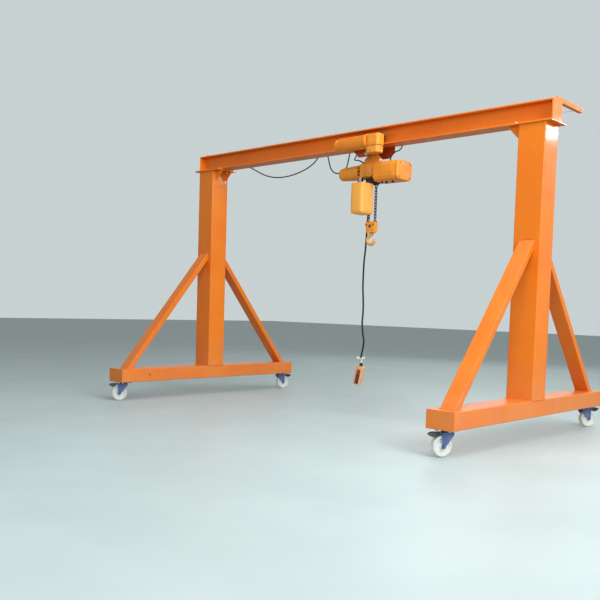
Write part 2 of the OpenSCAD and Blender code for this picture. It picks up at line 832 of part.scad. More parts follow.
// Control housing, with the gland of the drive's lead on top
module hoist_control() {
    control_w = 255;
    control_r = 52;
    end_len = 30;
    end_step = 12;
    gland_d = 24;
    low_z = hoist_z - 27;
    top_z = low_z + control_h / 2;
    color(HOIST_ORANGE) {
        loaf_x(control_len - end_len, control_w, control_h, control_r, control_x, 0, low_z);
        loaf_x(end_len + 1, control_w - 2 * end_step, control_h - 2 * end_step, control_r - end_step,
            control_x + control_len - end_len - 1, 0, low_z);
    }
    color(BLACK)
        translate([drive_route[0][0], drive_route[0][1], top_z - 5])
            cylinder(d = gland_d, h = drive_route[0][2] - top_z + 5);
}

module chain_bag() {
    base_h = 50;
    color(BAG_YELLOW) {
        loaf_z(bag_h - base_h, bag_len, bag_w, bag_r, bag_x, bag_y, bag_top - bag_h + base_h);
        hull() {
            loaf_z(2, bag_len, bag_w, bag_r, bag_x, bag_y, bag_top - bag_h + base_h - 1, $fn = 32);
            loaf_z(2, bag_len - 10, bag_w - 10, bag_r, bag_x, bag_y, bag_top - bag_h + 16, $fn = 32);
            loaf_z(2, bag_len - 40, bag_w - 40, bag_r - 6, bag_x, bag_y, bag_top - bag_h, $fn = 32);
        }
    }
}

// Load chain: two falls of interlocked links, each turned a quarter from the last
link_w = 3.4 * link_d;
slack = 0.6;
link_len = link_p + slack + 2 * link_d;
chain_start = gear_low - guide_h - fit;
chain_end = chain_start - link_len - (links - 1) * link_p;

module link() {
    bend = (link_w - link_d) / 2;
    straight = link_len - link_w;
    for (s = [-1, 1]) {
        translate([s * bend, 0, -straight / 2]) cylinder(d = link_d, h = straight, $fn = 24);
        translate([0, 0, s * straight / 2]) rotate([90, 0, 0]) rotate([0, 0, s > 0 ? 0 : 180])
            rotate_extrude(angle = 180, $fn = 24) translate([bend, 0]) circle(d = link_d, $fn = 16);
    }
}

module load_chain() {
    color(BLACK)
        for (side = [-1, 1])
            for (i = [0 : links - 1])
                translate([trolley_x + side * fall_gap / 2, 0, chain_start - link_len / 2 - i * link_p])
                    rotate([0, 0, i % 2 == 0 ? 0 : 90]) link();
}

// Hook block and hook
block_top = chain_end - fit;
block_w = 60;
block_low = block_top - block_h;
neck_a = acos(neck_r / (neck_r + hook_r));
neck_z = (neck_r + hook_r) * sin(neck_a);
hook_z = block_low - 5 - neck_z;
shank_in = 30;
tip_a = 345;
tip_len = 24;
bar_step = 1;
latch_pin_d = 6;
latch_at = [trolley_x + 23.5, hook_z + neck_z - 9];
latch_len = 48;
latch_tilt = 15.2;

// Arc of a quarter turn at one of the block's upper corners, from the angle "from"
function shoulder(half, r, from) = [for (a = [from : 15 : from + 90])
    [(from == 0 ? half - r : r - half) + r * cos(a), block_h - r + r * sin(a)]];

// Hook block: round shoulders over the two falls, and sides that close in towards the hook
module hook_block() {
    shoulder_r = 24;
    half = block_len / 2;
    low_half = half - 14;
    color(HOIST_ORANGE)
        difference() {
            translate([trolley_x, block_w / 2, block_low]) rotate([90, 0, 0]) linear_extrude(block_w)
                polygon(concat([[-low_half, 12], [12 - low_half, 0], [low_half - 12, 0], [low_half, 12]],
                    shoulder(half, shoulder_r, 0), shoulder(half, shoulder_r, 90)));
            translate([trolley_x, 0, block_low - 1]) cylinder(d = shank_d + 2 * fit, h = shank_in + 2);
        }
}

// Stretch of the hook's bar: an arc of radius r about a point in the hook's plane
module hook_arc(x, z, r, from, sweep, bar) {
    translate([x, 0, z]) rotate([90, 0, 0]) rotate([0, 0, from])
        rotate_extrude(angle = sweep) translate([r, 0]) circle(bar);
}

// Hook: the bar is thickest at the neck and thinner by one step at the bowl and at the tip
module hook() {
    color(BAG_YELLOW)
        translate([trolley_x, 0, hook_z]) {
            translate([0, 0, neck_z]) cylinder(d = shank_d, h = block_low + shank_in - hook_z - neck_z);
            hook_arc(-neck_r, neck_z, neck_r, -neck_a, neck_a, bar_r + bar_step);
            hook_arc(0, 0, hook_r, 180 - neck_a, tip_a - 180 + neck_a, bar_r);
            rotate([90, 0, 0]) rotate([0, 0, tip_a]) translate([hook_r, 0, 0]) rotate([-90, 0, 0])
                cylinder(r1 = bar_r - bar_step, r2 = bar_r * 0.55, h = tip_len);
        }
    color(STEEL) {
        block([latch_at[0] - 18, -5, latch_at[1] - 6], [24, 10, 12]);
        rod_y(latch_pin_d, 22, latch_at[0], -11, latch_at[1]);
    }
}

// Latch: a bent strap with two ears, sprung against the inside of the hook's tip
module hook_latch() {
    ear_t = 3;
    ear_in = 5.5;
    strap_w = 2 * (ear_in + ear_t);
    color(STEEL)
        translate([latch_at[0], 0, latch_at[1]]) rotate([0, -latch_tilt, 0])
            difference() {
                union() {
                    for (y = [-ear_in - ear_t, ear_in]) {
                        rod_y(12, ear_t, 0, y, 0);
                        block([-4, y, -20], [8, ear_t, 20]);
                    }
                    block([1, -strap_w / 2, -latch_len], [3, strap_w, latch_len - 12]);
                }
                rod_y(latch_pin_d + 2 * fit, strap_w + 2, 0, -strap_w / 2 - 1, 0);
            }
}

// Pendant and its cable
pendant_exit = [262, 60, 2430];
pendant_route = [[262, 60, 2430], [262, 60, 2330], [256, 60, 2150], [248, 60, 2000],
    [242, 60, 1860], [236, 60, 1740], [224, 60, 1620], [220, 60, 1480], [221, 60, 1340],
    [232, 60, 1200], [234, 60, 1080], [228, 60, 980], [238, 60, 880], [256, 60, 790],
    [250, 60, 710], [234, 60, 640], [228, 60, 590], [236, 60, 545]];
pendant_tilt = 12;
gland_h = 26;

module pendant_cable() {
    color(BLACK)
        cord(pendant_route, cable_d, 2, [0, 1, 0], [0, 0, -1], [-sin(pendant_tilt), 0, -cos(pendant_tilt)]);
}

module pendant() {
    translate(pendant_route[len(pendant_route) - 1]) rotate([0, pendant_tilt, 0]) {
        color(BLACK) translate([0, 0, -gland_h - 1]) cylinder(d1 = 44, d2 = 26, h = gland_h + 1);
        color(HOIST_ORANGE)
            loaf_z(pendant_h, pendant_w, pendant_d, 14, 0, 0, -gland_h - pendant_h);
    }
}

girder();
girder_end_plates();
festoon_brackets();
festoon_wire();
festoon_anchor();
festoon_slider();
festoon_cable();
column_left();
column_right();
column_cap_plates();
base_beam_left();
base_beam_right();
base_end_plates();
braces_left();
braces_right();
caster_plates();
caster_fork_near_left();
caster_fork_near_right();
caster_fork_far_left();
caster_fork_far_right();
caster_wheel_near_left();
caster_wheel_near_right();
caster_wheel_far_left();
caster_wheel_far_right();
brake_pedal_near_left();
brake_pedal_near_right();
brake_pedal_far_left();
brake_pedal_far_right();
trolley_plate_near();
trolley_plate_far();
trolley_wheels_left();
trolley_wheels_right();
load_shaft();
drive_motor();
tow_arm();
trolley_lead();
drive_lead();
hoist_hanger();
hoist_gearbox();
hoist_motor();
hoist_control();
chain_bag();
load_chain();
hook_block();
hook();
hook_latch();
pendant_cable();
pendant();
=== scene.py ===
# %% [markdown]
# # A portable gantry crane
# Two welded frames on swivel casters carry an H-section girder. A motor trolley runs on
# the girder's lower flange and an electric chain hoist hangs from it. The steel pieces come
# from the CAD model. This notebook rounds their edges, gives every surface its finish, and
# adds what is too fine for the CAD: weld beads, bolts, cables, moulded covers and the bag.

import json
from math import acos, atan2, cos, degrees, pi, radians, sin, sqrt, tan

import bmesh
import bpy
from mathutils import Matrix, Vector
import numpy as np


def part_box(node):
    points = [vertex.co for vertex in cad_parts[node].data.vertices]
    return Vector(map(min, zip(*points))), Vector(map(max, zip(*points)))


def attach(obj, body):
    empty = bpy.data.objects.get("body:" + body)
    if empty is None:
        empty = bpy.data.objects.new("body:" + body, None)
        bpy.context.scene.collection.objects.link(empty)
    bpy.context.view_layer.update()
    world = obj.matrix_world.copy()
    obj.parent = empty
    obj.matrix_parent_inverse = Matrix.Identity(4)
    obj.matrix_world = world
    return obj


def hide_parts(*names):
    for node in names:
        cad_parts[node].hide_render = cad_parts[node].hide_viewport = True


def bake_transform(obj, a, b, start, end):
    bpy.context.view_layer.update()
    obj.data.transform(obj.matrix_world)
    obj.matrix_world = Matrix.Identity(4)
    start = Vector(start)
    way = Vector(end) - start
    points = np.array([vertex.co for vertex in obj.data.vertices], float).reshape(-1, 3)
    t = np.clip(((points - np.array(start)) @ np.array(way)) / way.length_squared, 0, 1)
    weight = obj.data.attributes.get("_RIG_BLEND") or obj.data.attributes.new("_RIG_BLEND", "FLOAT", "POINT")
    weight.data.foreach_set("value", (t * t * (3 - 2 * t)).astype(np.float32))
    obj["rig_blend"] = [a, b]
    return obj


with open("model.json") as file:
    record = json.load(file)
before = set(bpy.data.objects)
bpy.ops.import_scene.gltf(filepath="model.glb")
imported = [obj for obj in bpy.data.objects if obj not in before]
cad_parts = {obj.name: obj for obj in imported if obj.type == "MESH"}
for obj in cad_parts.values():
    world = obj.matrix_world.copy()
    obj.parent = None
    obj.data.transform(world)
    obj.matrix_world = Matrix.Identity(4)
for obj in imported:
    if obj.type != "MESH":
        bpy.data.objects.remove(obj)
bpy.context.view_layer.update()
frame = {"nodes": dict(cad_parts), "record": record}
nodes = frame["nodes"]
record = frame["record"]
slot_of = {part["node"]: part["material_slot"] for part in record["subparts"]}
body_of = {node: body for body, held in record["behaviour"]["bodies"].items() for node in held}

# %% [markdown]
# ## The camera
# A photograph fixes the camera: where it stands, where it looks, and how long its lens is.
# Matching these first means that every later piece can be judged by laying the render over
# the photograph. The optical axis isn't at the middle of the frame, because the photograph
# was cropped, so a small shift of the lens follows it.

# %% Place the camera
PHOTO_W = 600
SENSOR_MM = 36
eye = Vector((5.294, -6.522, 1.108))
yaw, pitch, roll = -0.7574, -0.0618, 0.0296
focal_px = 781.2
axis_px = (281.6, 356.2)


def camera_basis():
    ahead = Vector((sin(yaw) * cos(pitch), cos(yaw) * cos(pitch), sin(pitch)))
    level = Vector((cos(yaw), -sin(yaw), 0))
    up = level.cross(ahead)
    right = level * cos(roll) + up * sin(roll)
    return right, ahead.cross(-right), ahead


right, up, ahead = camera_basis()
lens = bpy.data.cameras.new("camera")
lens.sensor_width = SENSOR_MM
lens.lens = focal_px / PHOTO_W * SENSOR_MM
lens.shift_x = 0.5 - axis_px[0] / PHOTO_W
lens.shift_y = axis_px[1] / PHOTO_W - 0.5
camera = bpy.data.objects.new("camera", lens)
bpy.context.scene.collection.objects.link(camera)
camera.matrix_world = Matrix.Translation(eye) @ Matrix((right, up, -ahead)).transposed().to_4x4()
bpy.context.scene.camera = camera
print("lens", round(lens.lens, 1), "mm")

# %% [markdown]
# ## Helpers for meshes
# New pieces start as a bmesh in millimetres, are shaped by its operators, and end as an
# object at the origin with their place in the mesh, in metres. Keeping the start and the end
# in two functions means that no piece forgets its material, its body or its smooth shading.
# A face layer called "worn" marks the faces that a bevel made, so that a finish can show
# bare metal on edges only. The other way, a pointiness node, works in one renderer only.

# %% Start a mesh and turn it into a piece
MM = 0.001
SMOOTH_UNDER = radians(50)


def finish_named(name):
    return bpy.data.materials.get(name) or bpy.data.materials.new(name)


def start_mesh(source=None):
    mesh = bmesh.new()
    if source:
        mesh.from_mesh(source)
        bmesh.ops.scale(mesh, vec=[1 / MM] * 3, verts=mesh.verts)
        bmesh.ops.remove_doubles(mesh, verts=mesh.verts, dist=0.02)
    mesh.faces.layers.float.new("worn")
    return mesh


def piece(name, mesh, slot, body, stands_for=(), even=True):
    bmesh.ops.remove_doubles(mesh, verts=mesh.verts, dist=0.01)
    bmesh.ops.recalc_face_normals(mesh, faces=mesh.faces)
    for edge in mesh.edges:
        edge.smooth = len(edge.link_faces) == 2 and edge.calc_face_angle(0) < SMOOTH_UNDER
    for face in mesh.faces:
        face.smooth = True
    bmesh.ops.scale(mesh, vec=[MM] * 3, verts=mesh.verts)
    data = bpy.data.meshes.new(name)
    mesh.to_mesh(data)
    mesh.free()
    data.materials.append(finish_named(slot))
    made = bpy.data.objects.new(name, data)
    bpy.context.scene.collection.objects.link(made)
    if even:
        shading = made.modifiers.new("even_shading", "WEIGHTED_NORMAL")
        shading.keep_sharp = True
    if body:
        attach(made, body)
    if stands_for:
        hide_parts(*stands_for)
    return made


# %% Round edges, and draw the shapes that repeat
def edges_of(verts):
    return {edge for vert in verts for edge in vert.link_edges}


def soften(mesh, edges, width, segments=2):
    worn = mesh.faces.layers.float["worn"]
    cut = bmesh.ops.bevel(mesh, geom=list(edges), offset=width, offset_type="OFFSET", segments=segments,
                          profile=0.5, affect="EDGES", clamp_overlap=True, material=-1)
    for face in cut["faces"]:
        face[worn] = 1.0
    return cut


def stand(base, axis):
    turn = Vector((0, 0, 1)).rotation_difference(Vector(axis))
    return Matrix.Translation(base) @ turn.to_matrix().to_4x4()


def cube_between(mesh, low, high, place=Matrix.Identity(4)):
    low, high = Vector(low), Vector(high)
    shape = Matrix.Translation((low + high) / 2) @ Matrix.Diagonal((*(high - low), 1))
    return bmesh.ops.create_cube(mesh, size=1, matrix=place @ shape)["verts"]


def box(mesh, low, high, soft=0.0, segments=2, place=Matrix.Identity(4)):
    verts = cube_between(mesh, low, high, place)
    if soft:
        soften(mesh, edges_of(verts), soft, segments)


def loaf(mesh, low, high, radius, along, rim=0.0, rounding=8):
    verts = cube_between(mesh, low, high)
    rails = [e for e in edges_of(verts) if abs((e.verts[0].co - e.verts[1].co)[along]) > 0.01]
    cut = bmesh.ops.bevel(mesh, geom=rails, offset=radius, segments=rounding, profile=0.5,
                          affect="EDGES", clamp_overlap=True, material=-1)
    ends = {f for v in cut["verts"] for f in v.link_faces if len(f.verts) > 4}
    if rim:
        soften(mesh, {e for f in ends for e in f.edges}, rim, 3)


def drum(mesh, radius, length, base, axis=(0, 0, 1), sides=32, soft=0.0, top=None):
    place = stand(base, axis) @ Matrix.Translation((0, 0, length / 2))
    verts = bmesh.ops.create_cone(mesh, cap_ends=True, cap_tris=False, segments=sides, radius1=radius,
                                  radius2=radius if top is None else top, depth=length,
                                  matrix=place)["verts"]
    if soft:
        rims = {e for f in {f for v in verts for f in v.link_faces} if len(f.verts) == sides
                for e in f.edges}
        soften(mesh, rims, soft, 2)


def lathe(mesh, profile, base, axis, sides=64):
    axis = Vector(axis).normalized()
    side = axis.orthogonal().normalized()
    verts = [mesh.verts.new(Vector(base) + axis * h + side * r) for r, h in profile]
    edges = [mesh.edges.new(pair) for pair in zip(verts, verts[1:])]
    bmesh.ops.spin(mesh, geom=verts + edges, cent=base, axis=axis, angle=2 * pi, steps=sides, use_merge=True)


def plate(mesh, outline, thickness, place, soft=0.0):
    verts = [mesh.verts.new((x, y, 0)) for x, y in outline]
    face = mesh.faces.new(verts)
    grown = bmesh.ops.extrude_face_region(mesh, geom=[face])["geom"]
    lifted = [v for v in grown if isinstance(v, bmesh.types.BMVert)]
    bmesh.ops.translate(mesh, vec=(0, 0, thickness), verts=lifted)
    bmesh.ops.transform(mesh, matrix=place, verts=verts + lifted)
    if soft:
        soften(mesh, edges_of(verts + lifted), soft)


def hex_bolt(mesh, base, axis, across, height, washer=2.5):
    axis = Vector(axis).normalized()
    drum(mesh, across * 0.62, washer, base, axis, sides=20, soft=0.4)
    drum(mesh, across / sqrt(3), height, Vector(base) + axis * washer, axis, sides=6, soft=0.8)


def cap_screw(mesh, base, axis, radius=5.0, height=5.0):
    drum(mesh, radius, height, base, axis, sides=16, soft=0.6)


# %% [markdown]
# ## The cables
# Four black cables hang on the crane. The festoon cable feeds the trolley from the girder's
# left end and hangs in two loops from clips on a taut wire. A lead goes on from the last clip
# to the hoist, a short one climbs from the control housing to the trolley, and the pendant's
# cable drops to the case with the buttons. Each is a smooth tube along the route that the CAD
# model states. A curve with a round bevel makes it, because a curve keeps its section round
# in every bend, where an extruded circle would shear.

# %% Draw a tube along a route
def smooth_route(points, steps):
    line = []
    for i in range(len(points) - 1):
        a, b = points[max(i - 1, 0)], points[i]
        c, d = points[i + 1], points[min(i + 2, len(points) - 1)]
        for k in range(steps):
            t = k / steps
            line.append(0.5 * (2 * b + (c - a) * t + (2 * a - 5 * b + 4 * c - d) * t * t
                               + (3 * b - a - 3 * c + d) * t ** 3))
    line.append(points[-1])
    return line


def swept(line, radius, swell=None, roundness=8):
    curve = bpy.data.curves.new("swept", "CURVE")
    curve.dimensions = "3D"
    curve.bevel_depth = radius
    curve.bevel_resolution = roundness
    curve.use_fill_caps = True
    run = curve.splines.new("POLY")
    run.points.add(len(line) - 1)
    for i, (point, place) in enumerate(zip(run.points, line)):
        point.co = (*place, 1)
        point.radius = swell[i] if swell else 1
    drawn = bpy.data.objects.new("swept", curve)
    bpy.context.scene.collection.objects.link(drawn)
    data = bpy.data.meshes.new_from_object(drawn.evaluated_get(bpy.context.evaluated_depsgraph_get()))
    bpy.data.objects.remove(drawn)
    bpy.data.curves.remove(curve)
    return data


def cable(name, route_mm, diameter_mm, body, node):
    line = smooth_route([Vector(p) * MM for p in route_mm], 6)
    made = piece(name, start_mesh(swept(line, diameter_mm * MM / 2)), "cable_rubber", body, (node,), even=False)
    return made


# %% Hang the four cables
festoon = cable("festoon_run", [
    (-2210, 520, 2938), (-2170, 520, 2936), (-2110, 520, 2924), (-2030, 520, 2896),
    (-1920, 520, 2845), (-1780, 520, 2780), (-1640, 520, 2736), (-1500, 520, 2716),
    (-1350, 520, 2716), (-1200, 520, 2736), (-1060, 520, 2772), (-950, 520, 2820),
    (-880, 520, 2875), (-838, 520, 2922), (-790, 520, 2938), (-742, 520, 2922),
    (-712, 520, 2875), (-690, 520, 2805), (-660, 520, 2735), (-610, 520, 2690),
    (-540, 520, 2675), (-470, 520, 2692), (-425, 520, 2745), (-404, 520, 2820),
    (-388, 520, 2884), (-360, 520, 2924), (-310, 520, 2938)], 14, None, "festoon_cable")
lead = cable("hoist_lead", [
    (-310, 520, 2938), (-265, 512, 2928), (-228, 480, 2890), (-205, 430, 2842),
    (-182, 370, 2798), (-148, 310, 2762), (-95, 250, 2735), (-25, 190, 2718),
    (45, 130, 2700), (105, 92, 2678), (170, 66, 2650), (215, 56, 2635), (250, 55, 2633)],
    14, "trolley", "trolley_lead")
climb = cable("trolley_drive_lead", [
    (528, 40, 2630), (529, 41, 2652), (540, 45, 2682), (554, 53, 2701), (564, 70, 2720),
    (583, 107, 2740), (602, 120, 2764), (612, 122, 2795), (605, 125, 2824), (586, 129, 2843),
    (561, 132, 2850), (524, 132, 2850)], 12, "trolley", "drive_lead")
drop = cable("pendant_drop", [
    (262, 60, 2430), (262, 60, 2330), (256, 60, 2150), (248, 60, 2000),
    (242, 60, 1860), (236, 60, 1740), (224, 60, 1620), (220, 60, 1480), (221, 60, 1340),
    (232, 60, 1200), (234, 60, 1080), (228, 60, 980), (238, 60, 880), (256, 60, 790),
    (250, 60, 710), (234, 60, 640), (228, 60, 590), (236, 60, 545)],
    18, "trolley", "pendant_cable")

# %% [markdown]
# The festoon cable is held by the girder at its left end and towed by the trolley at its
# right end, so it rides on neither body. A blend stretches it between the two.

# %% Let the festoon cable follow the trolley
FESTOON_FIXED_X = -2.19
FESTOON_TOWED_X = -0.33
WIRE_Y = 0.52
CABLE_Z = 2.9
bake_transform(festoon, "root", "trolley", start=(FESTOON_FIXED_X, WIRE_Y, CABLE_Z),
         end=(FESTOON_TOWED_X, WIRE_Y, CABLE_Z))

# %% [markdown]
# ## Steelwork with rounded edges
# Rolled and cut steel has no razor edges: a square tube has a corner radius of about its
# wall, and a cut plate is ground by a millimetre or two. Those small rounds catch the light
# and make metal look real. The CAD pieces have sharp edges, so each is copied, its triangles
# are merged into flat faces, and its outward edges are bevelled: the long ones of tubes wide,
# all others narrow. Modelling each piece again would risk its size. The copy keeps it.

# %% Dress a CAD node
RAIL_LENGTH = 700
SHARP_OVER = radians(35)


def outward_edges(mesh):
    return [e for e in mesh.edges if len(e.link_faces) == 2 and e.is_convex
            and e.calc_face_angle(0) > SHARP_OVER]


def dress(node, edge=1.5, rail=0.0):
    mesh = start_mesh(nodes[node].data)
    bmesh.ops.dissolve_limit(mesh, angle_limit=radians(1), verts=mesh.verts, edges=mesh.edges)
    if rail:
        soften(mesh, [e for e in outward_edges(mesh) if e.calc_length() > RAIL_LENGTH], rail, 3)
    if edge:
        soften(mesh, outward_edges(mesh), edge, 2)
    return piece(node + "_dressed", mesh, slot_of[node], body_of[node], (node,))


for name in ("column_left", "column_right", "base_beam_left", "base_beam_right"):
    dress(name, edge=0.0, rail=9.0)
for name in ("braces_left", "braces_right"):
    dress(name, edge=0.0, rail=6.0)
for name in ("girder", "girder_end_plates", "festoon_brackets", "column_cap_plates", "base_end_plates",
             "trolley_plate_near", "trolley_plate_far", "hoist_hanger"):
    dress(name, edge=1.5)
for name in ("load_shaft", "trolley_wheels_left", "trolley_wheels_right", "hook_latch",
             "caster_plates"):
    dress(name, edge=0.8)
dress("load_chain", edge=0.0)
dress("hook_block", edge=3.0)
print("steelwork dressed")

# %% [markdown]
# ## Festoon clips and the tow arm
# A clip is a small black block that slides on the wire. Two cheeks clamp the cable under it
# with a bolt, and the block's edges are moulded round. The arm that tows the last clip is
# bent from flat bar, with one tapering plate on top, drawn as an outline and extruded.

# %% Make the clips and the arm
CLIP_HALF = 20
CLIP_W = 12.3
CLIP_CABLE_Z = 2938
ARM_X = 210
ARM_LOW = 2795
ARM_TOP = 2955
ARM_Y = 113.5


def festoon_clip(name, x, body, stands_for=()):
    mesh = start_mesh()
    y = WIRE_Y / MM
    box(mesh, (x - CLIP_HALF, y - CLIP_W, 2945), (x + CLIP_HALF, y + CLIP_W, 2988), 3, segments=3)
    for side in (-1, 1):
        inner, outer = sorted((y + side * 7.3, y + side * CLIP_W))
        box(mesh, (x - CLIP_HALF, inner, 2931), (x + CLIP_HALF, outer, 2948), 1.5)
        for dx in (-12, 12):
            drum(mesh, 4, 1.5, (x + dx, y + side * (CLIP_W - 0.5), 2966), (0, side, 0), sides=20, soft=0.5)
    return piece(name, mesh, "black_plastic", body, stands_for)


def tow_arm():
    mesh = start_mesh()
    box(mesh, (ARM_X - 15, ARM_Y, ARM_LOW), (ARM_X + 15, ARM_Y + 8, ARM_TOP + 1), 1.5)
    clip_y = WIRE_Y / MM - 7
    outline = [(ARM_X - 15, ARM_Y), (ARM_X + 15, ARM_Y), (ARM_X + 15, ARM_Y + 8),
               (FESTOON_TOWED_X / MM + CLIP_HALF, clip_y), (FESTOON_TOWED_X / MM - CLIP_HALF, clip_y)]
    plate(mesh, outline, 8, Matrix.Translation((0, 0, ARM_TOP)), soft=1.5)
    for z in (2812, 2866):
        hex_bolt(mesh, (ARM_X, ARM_Y + 8, z), (0, 1, 0), 13, 6, washer=1.5)
    return piece("tow_arm_bar", mesh, "bright_steel", "trolley", ("tow_arm",))


tow_arm()
festoon_clip("clip_towed", FESTOON_TOWED_X / MM, "trolley")
festoon_clip("clip_fixed", FESTOON_FIXED_X / MM, "root", ("festoon_anchor",))
festoon_clip("clip_sliding", -790, "festoon_slider", ("festoon_slider",))

# %% [markdown]
# ## Weld beads
# The frames are welded, and a fillet weld is a small rippled ridge in the corner between two
# plates. A bump map would vanish in the outline, so each bead is real: a grid of faces rolled
# into a tube whose radius swells with every ripple. All beads of the frames are one mesh.

# %% Roll a bead along a corner
BEAD_STEP = 4.0
BEAD_SIDES = 8


def bead(mesh, a, b, one, two, size=6.0):
    a, b = Vector(a), Vector(b)
    one, two = Vector(one).normalized(), Vector(two).normalized()
    rings = max(4, round((b - a).length / BEAD_STEP))
    rolled = bmesh.ops.create_grid(mesh, x_segments=rings, y_segments=BEAD_SIDES, size=0.5)["verts"]
    for vert in rolled:
        along, turn = vert.co.x + 0.5, (vert.co.y + 0.5) * 2 * pi
        ring = round(along * rings)
        end = 0.45 if ring in (0, rings) else 1.0
        swell = size * end * (0.60 + 0.035 * (1 if ring % 2 else -1))
        vert.co = a.lerp(b, along) + (one + two) * size * 0.3 + (one * cos(turn) + two * sin(turn)) * swell


def seam(mesh, corners, rise, size=6.0):
    rise = Vector(rise)
    loop = [Vector(c) for c in corners]
    middle = sum(loop, Vector()) / len(loop)
    for a, b in zip(loop, loop[1:] + loop[:1]):
        out = (b - a).cross(rise).normalized()
        if out.dot((a + b) / 2 - middle) < 0:
            out.negate()
        lap = (b - a).normalized() * size * 0.35
        bead(mesh, a - lap, b + lap, out, rise, size)


def rectangle(centre, u, v):
    centre, u, v = Vector(centre), Vector(u), Vector(v)
    return [centre - u - v, centre + u - v, centre + u + v, centre - u + v]


# %% Weld the two frames
COLUMN_X = nodes and (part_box("column_right")[0][0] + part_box("column_right")[1][0]) / 2 / MM
COLUMN_HALF = (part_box("column_right")[1][1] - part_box("column_right")[0][1]) / 2 / MM
COLUMN_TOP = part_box("column_right")[1][2] / MM
BASE_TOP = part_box("base_beam_right")[1][2] / MM
BASE_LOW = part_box("base_beam_right")[0][2] / MM
BASE_END_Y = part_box("base_beam_right")[1][1] / MM
GIRDER_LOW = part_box("girder")[0][2] / MM
GIRDER_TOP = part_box("girder")[1][2] / MM
GIRDER_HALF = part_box("girder")[1][1] / MM
GIRDER_END_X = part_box("girder")[1][0] / MM
CAP_IN_X = (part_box("column_cap_plates")[1][0] / MM) - 430
BRACE_HALF = 70
BRACE_DEPTH = 60
BRACE_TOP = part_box("braces_right")[1][2] / MM
BRACE_FOOT_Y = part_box("braces_right")[1][1] / MM
FLANGE_T = 13
WEB_HALF = 4.5
RIB_Y = 75
RIB_HALF = 6
RIB_H = 105
RIB_IN = 114

brace_slope = (BRACE_TOP - BASE_TOP) / (BRACE_FOOT_Y - COLUMN_HALF)
brace_rise = BRACE_DEPTH * sqrt(1 + brace_slope ** 2)
brace_run = brace_rise / brace_slope


def weld_frame(mesh, side):
    x = side * COLUMN_X
    foot = rectangle((x, 0, BASE_TOP), (COLUMN_HALF, 0, 0), (0, COLUMN_HALF, 0))
    seam(mesh, foot, (0, 0, 1), 7)
    head = rectangle((x, 0, COLUMN_TOP), (COLUMN_HALF, 0, 0), (0, COLUMN_HALF, 0))
    seam(mesh, head, (0, 0, -1), 7)
    for end in (-1, 1):
        heel = rectangle((x, end * (BRACE_FOOT_Y - brace_run / 2), BASE_TOP), (BRACE_HALF, 0, 0),
                         (0, brace_run / 2, 0))
        seam(mesh, heel, (0, 0, 1), 6)
        toe = rectangle((x, end * COLUMN_HALF, BRACE_TOP - brace_rise / 2), (BRACE_HALF, 0, 0),
                        (0, 0, brace_rise / 2))
        seam(mesh, toe, (0, end, 0), 6)
        rim = rectangle((x, end * BASE_END_Y, (BASE_TOP + BASE_LOW) / 2), (COLUMN_HALF - 4, 0, 0),
                        (0, 0, (BASE_TOP - BASE_LOW) / 2 - 4))
        seam(mesh, rim, (0, -end, 0), 6)
        bead(mesh, (side * CAP_IN_X, end * GIRDER_HALF, GIRDER_LOW),
             (side * GIRDER_END_X, end * GIRDER_HALF, GIRDER_LOW), (0, end, 0), (0, 0, 1), 7)


def weld_ribs(mesh, side):
    inner = side * (COLUMN_X - COLUMN_HALF)
    for y in (-RIB_Y, RIB_Y):
        for face in (-1, 1):
            root = y + face * RIB_HALF
            bead(mesh, (inner, root, COLUMN_TOP), (inner - side * RIB_IN, root, COLUMN_TOP),
                 (0, face, 0), (0, 0, -1), 5)
            bead(mesh, (inner, root, COLUMN_TOP), (inner, root, COLUMN_TOP - RIB_H),
                 (0, face, 0), (-side, 0, 0), 5)


def weld_girder_end(mesh, side):
    x = side * GIRDER_END_X
    for face in (-1, 1):
        bead(mesh, (x, face * WEB_HALF, GIRDER_LOW + 26), (x, face * WEB_HALF, GIRDER_TOP - 26),
             (0, face, 0), (-side, 0, 0), 6)
        for z, rise in ((GIRDER_LOW + FLANGE_T, 1), (GIRDER_TOP - FLANGE_T, -1)):
            bead(mesh, (x, face * 20, z), (x, face * (GIRDER_HALF - 2), z), (0, 0, rise), (-side, 0, 0), 6)


welds = start_mesh()
for side in (-1, 1):
    weld_frame(welds, side)
    weld_ribs(welds, side)
    weld_girder_end(welds, side)
beads = piece("weld_beads", welds, "frame_paint", "root", even=False)
print(len(beads.data.polygons), "faces of weld")

# %% [markdown]
# ## Bolts
# The girder is bolted to the inner part of each cap plate, every caster to its beam, and the
# festoon's angle irons to the girder's top. A hexagon head is a six-sided cone primitive with
# a bevelled rim on a washer, and a loop puts it wherever two plates meet.

# %% Fit the bolts of the frames
CASTER_Y = 1295
PAD_LOW = BASE_LOW - 8
PAD_BOLT = (60, 50)
CAP_BOLT_X = COLUMN_X - COLUMN_HALF - 62
CAP_BOLT_Y = 48
BRACKET_X = 2250


def caster_turn(side, end):
    return radians((0 if end < 0 else 180) + (-113 if side * end < 0 else -120))


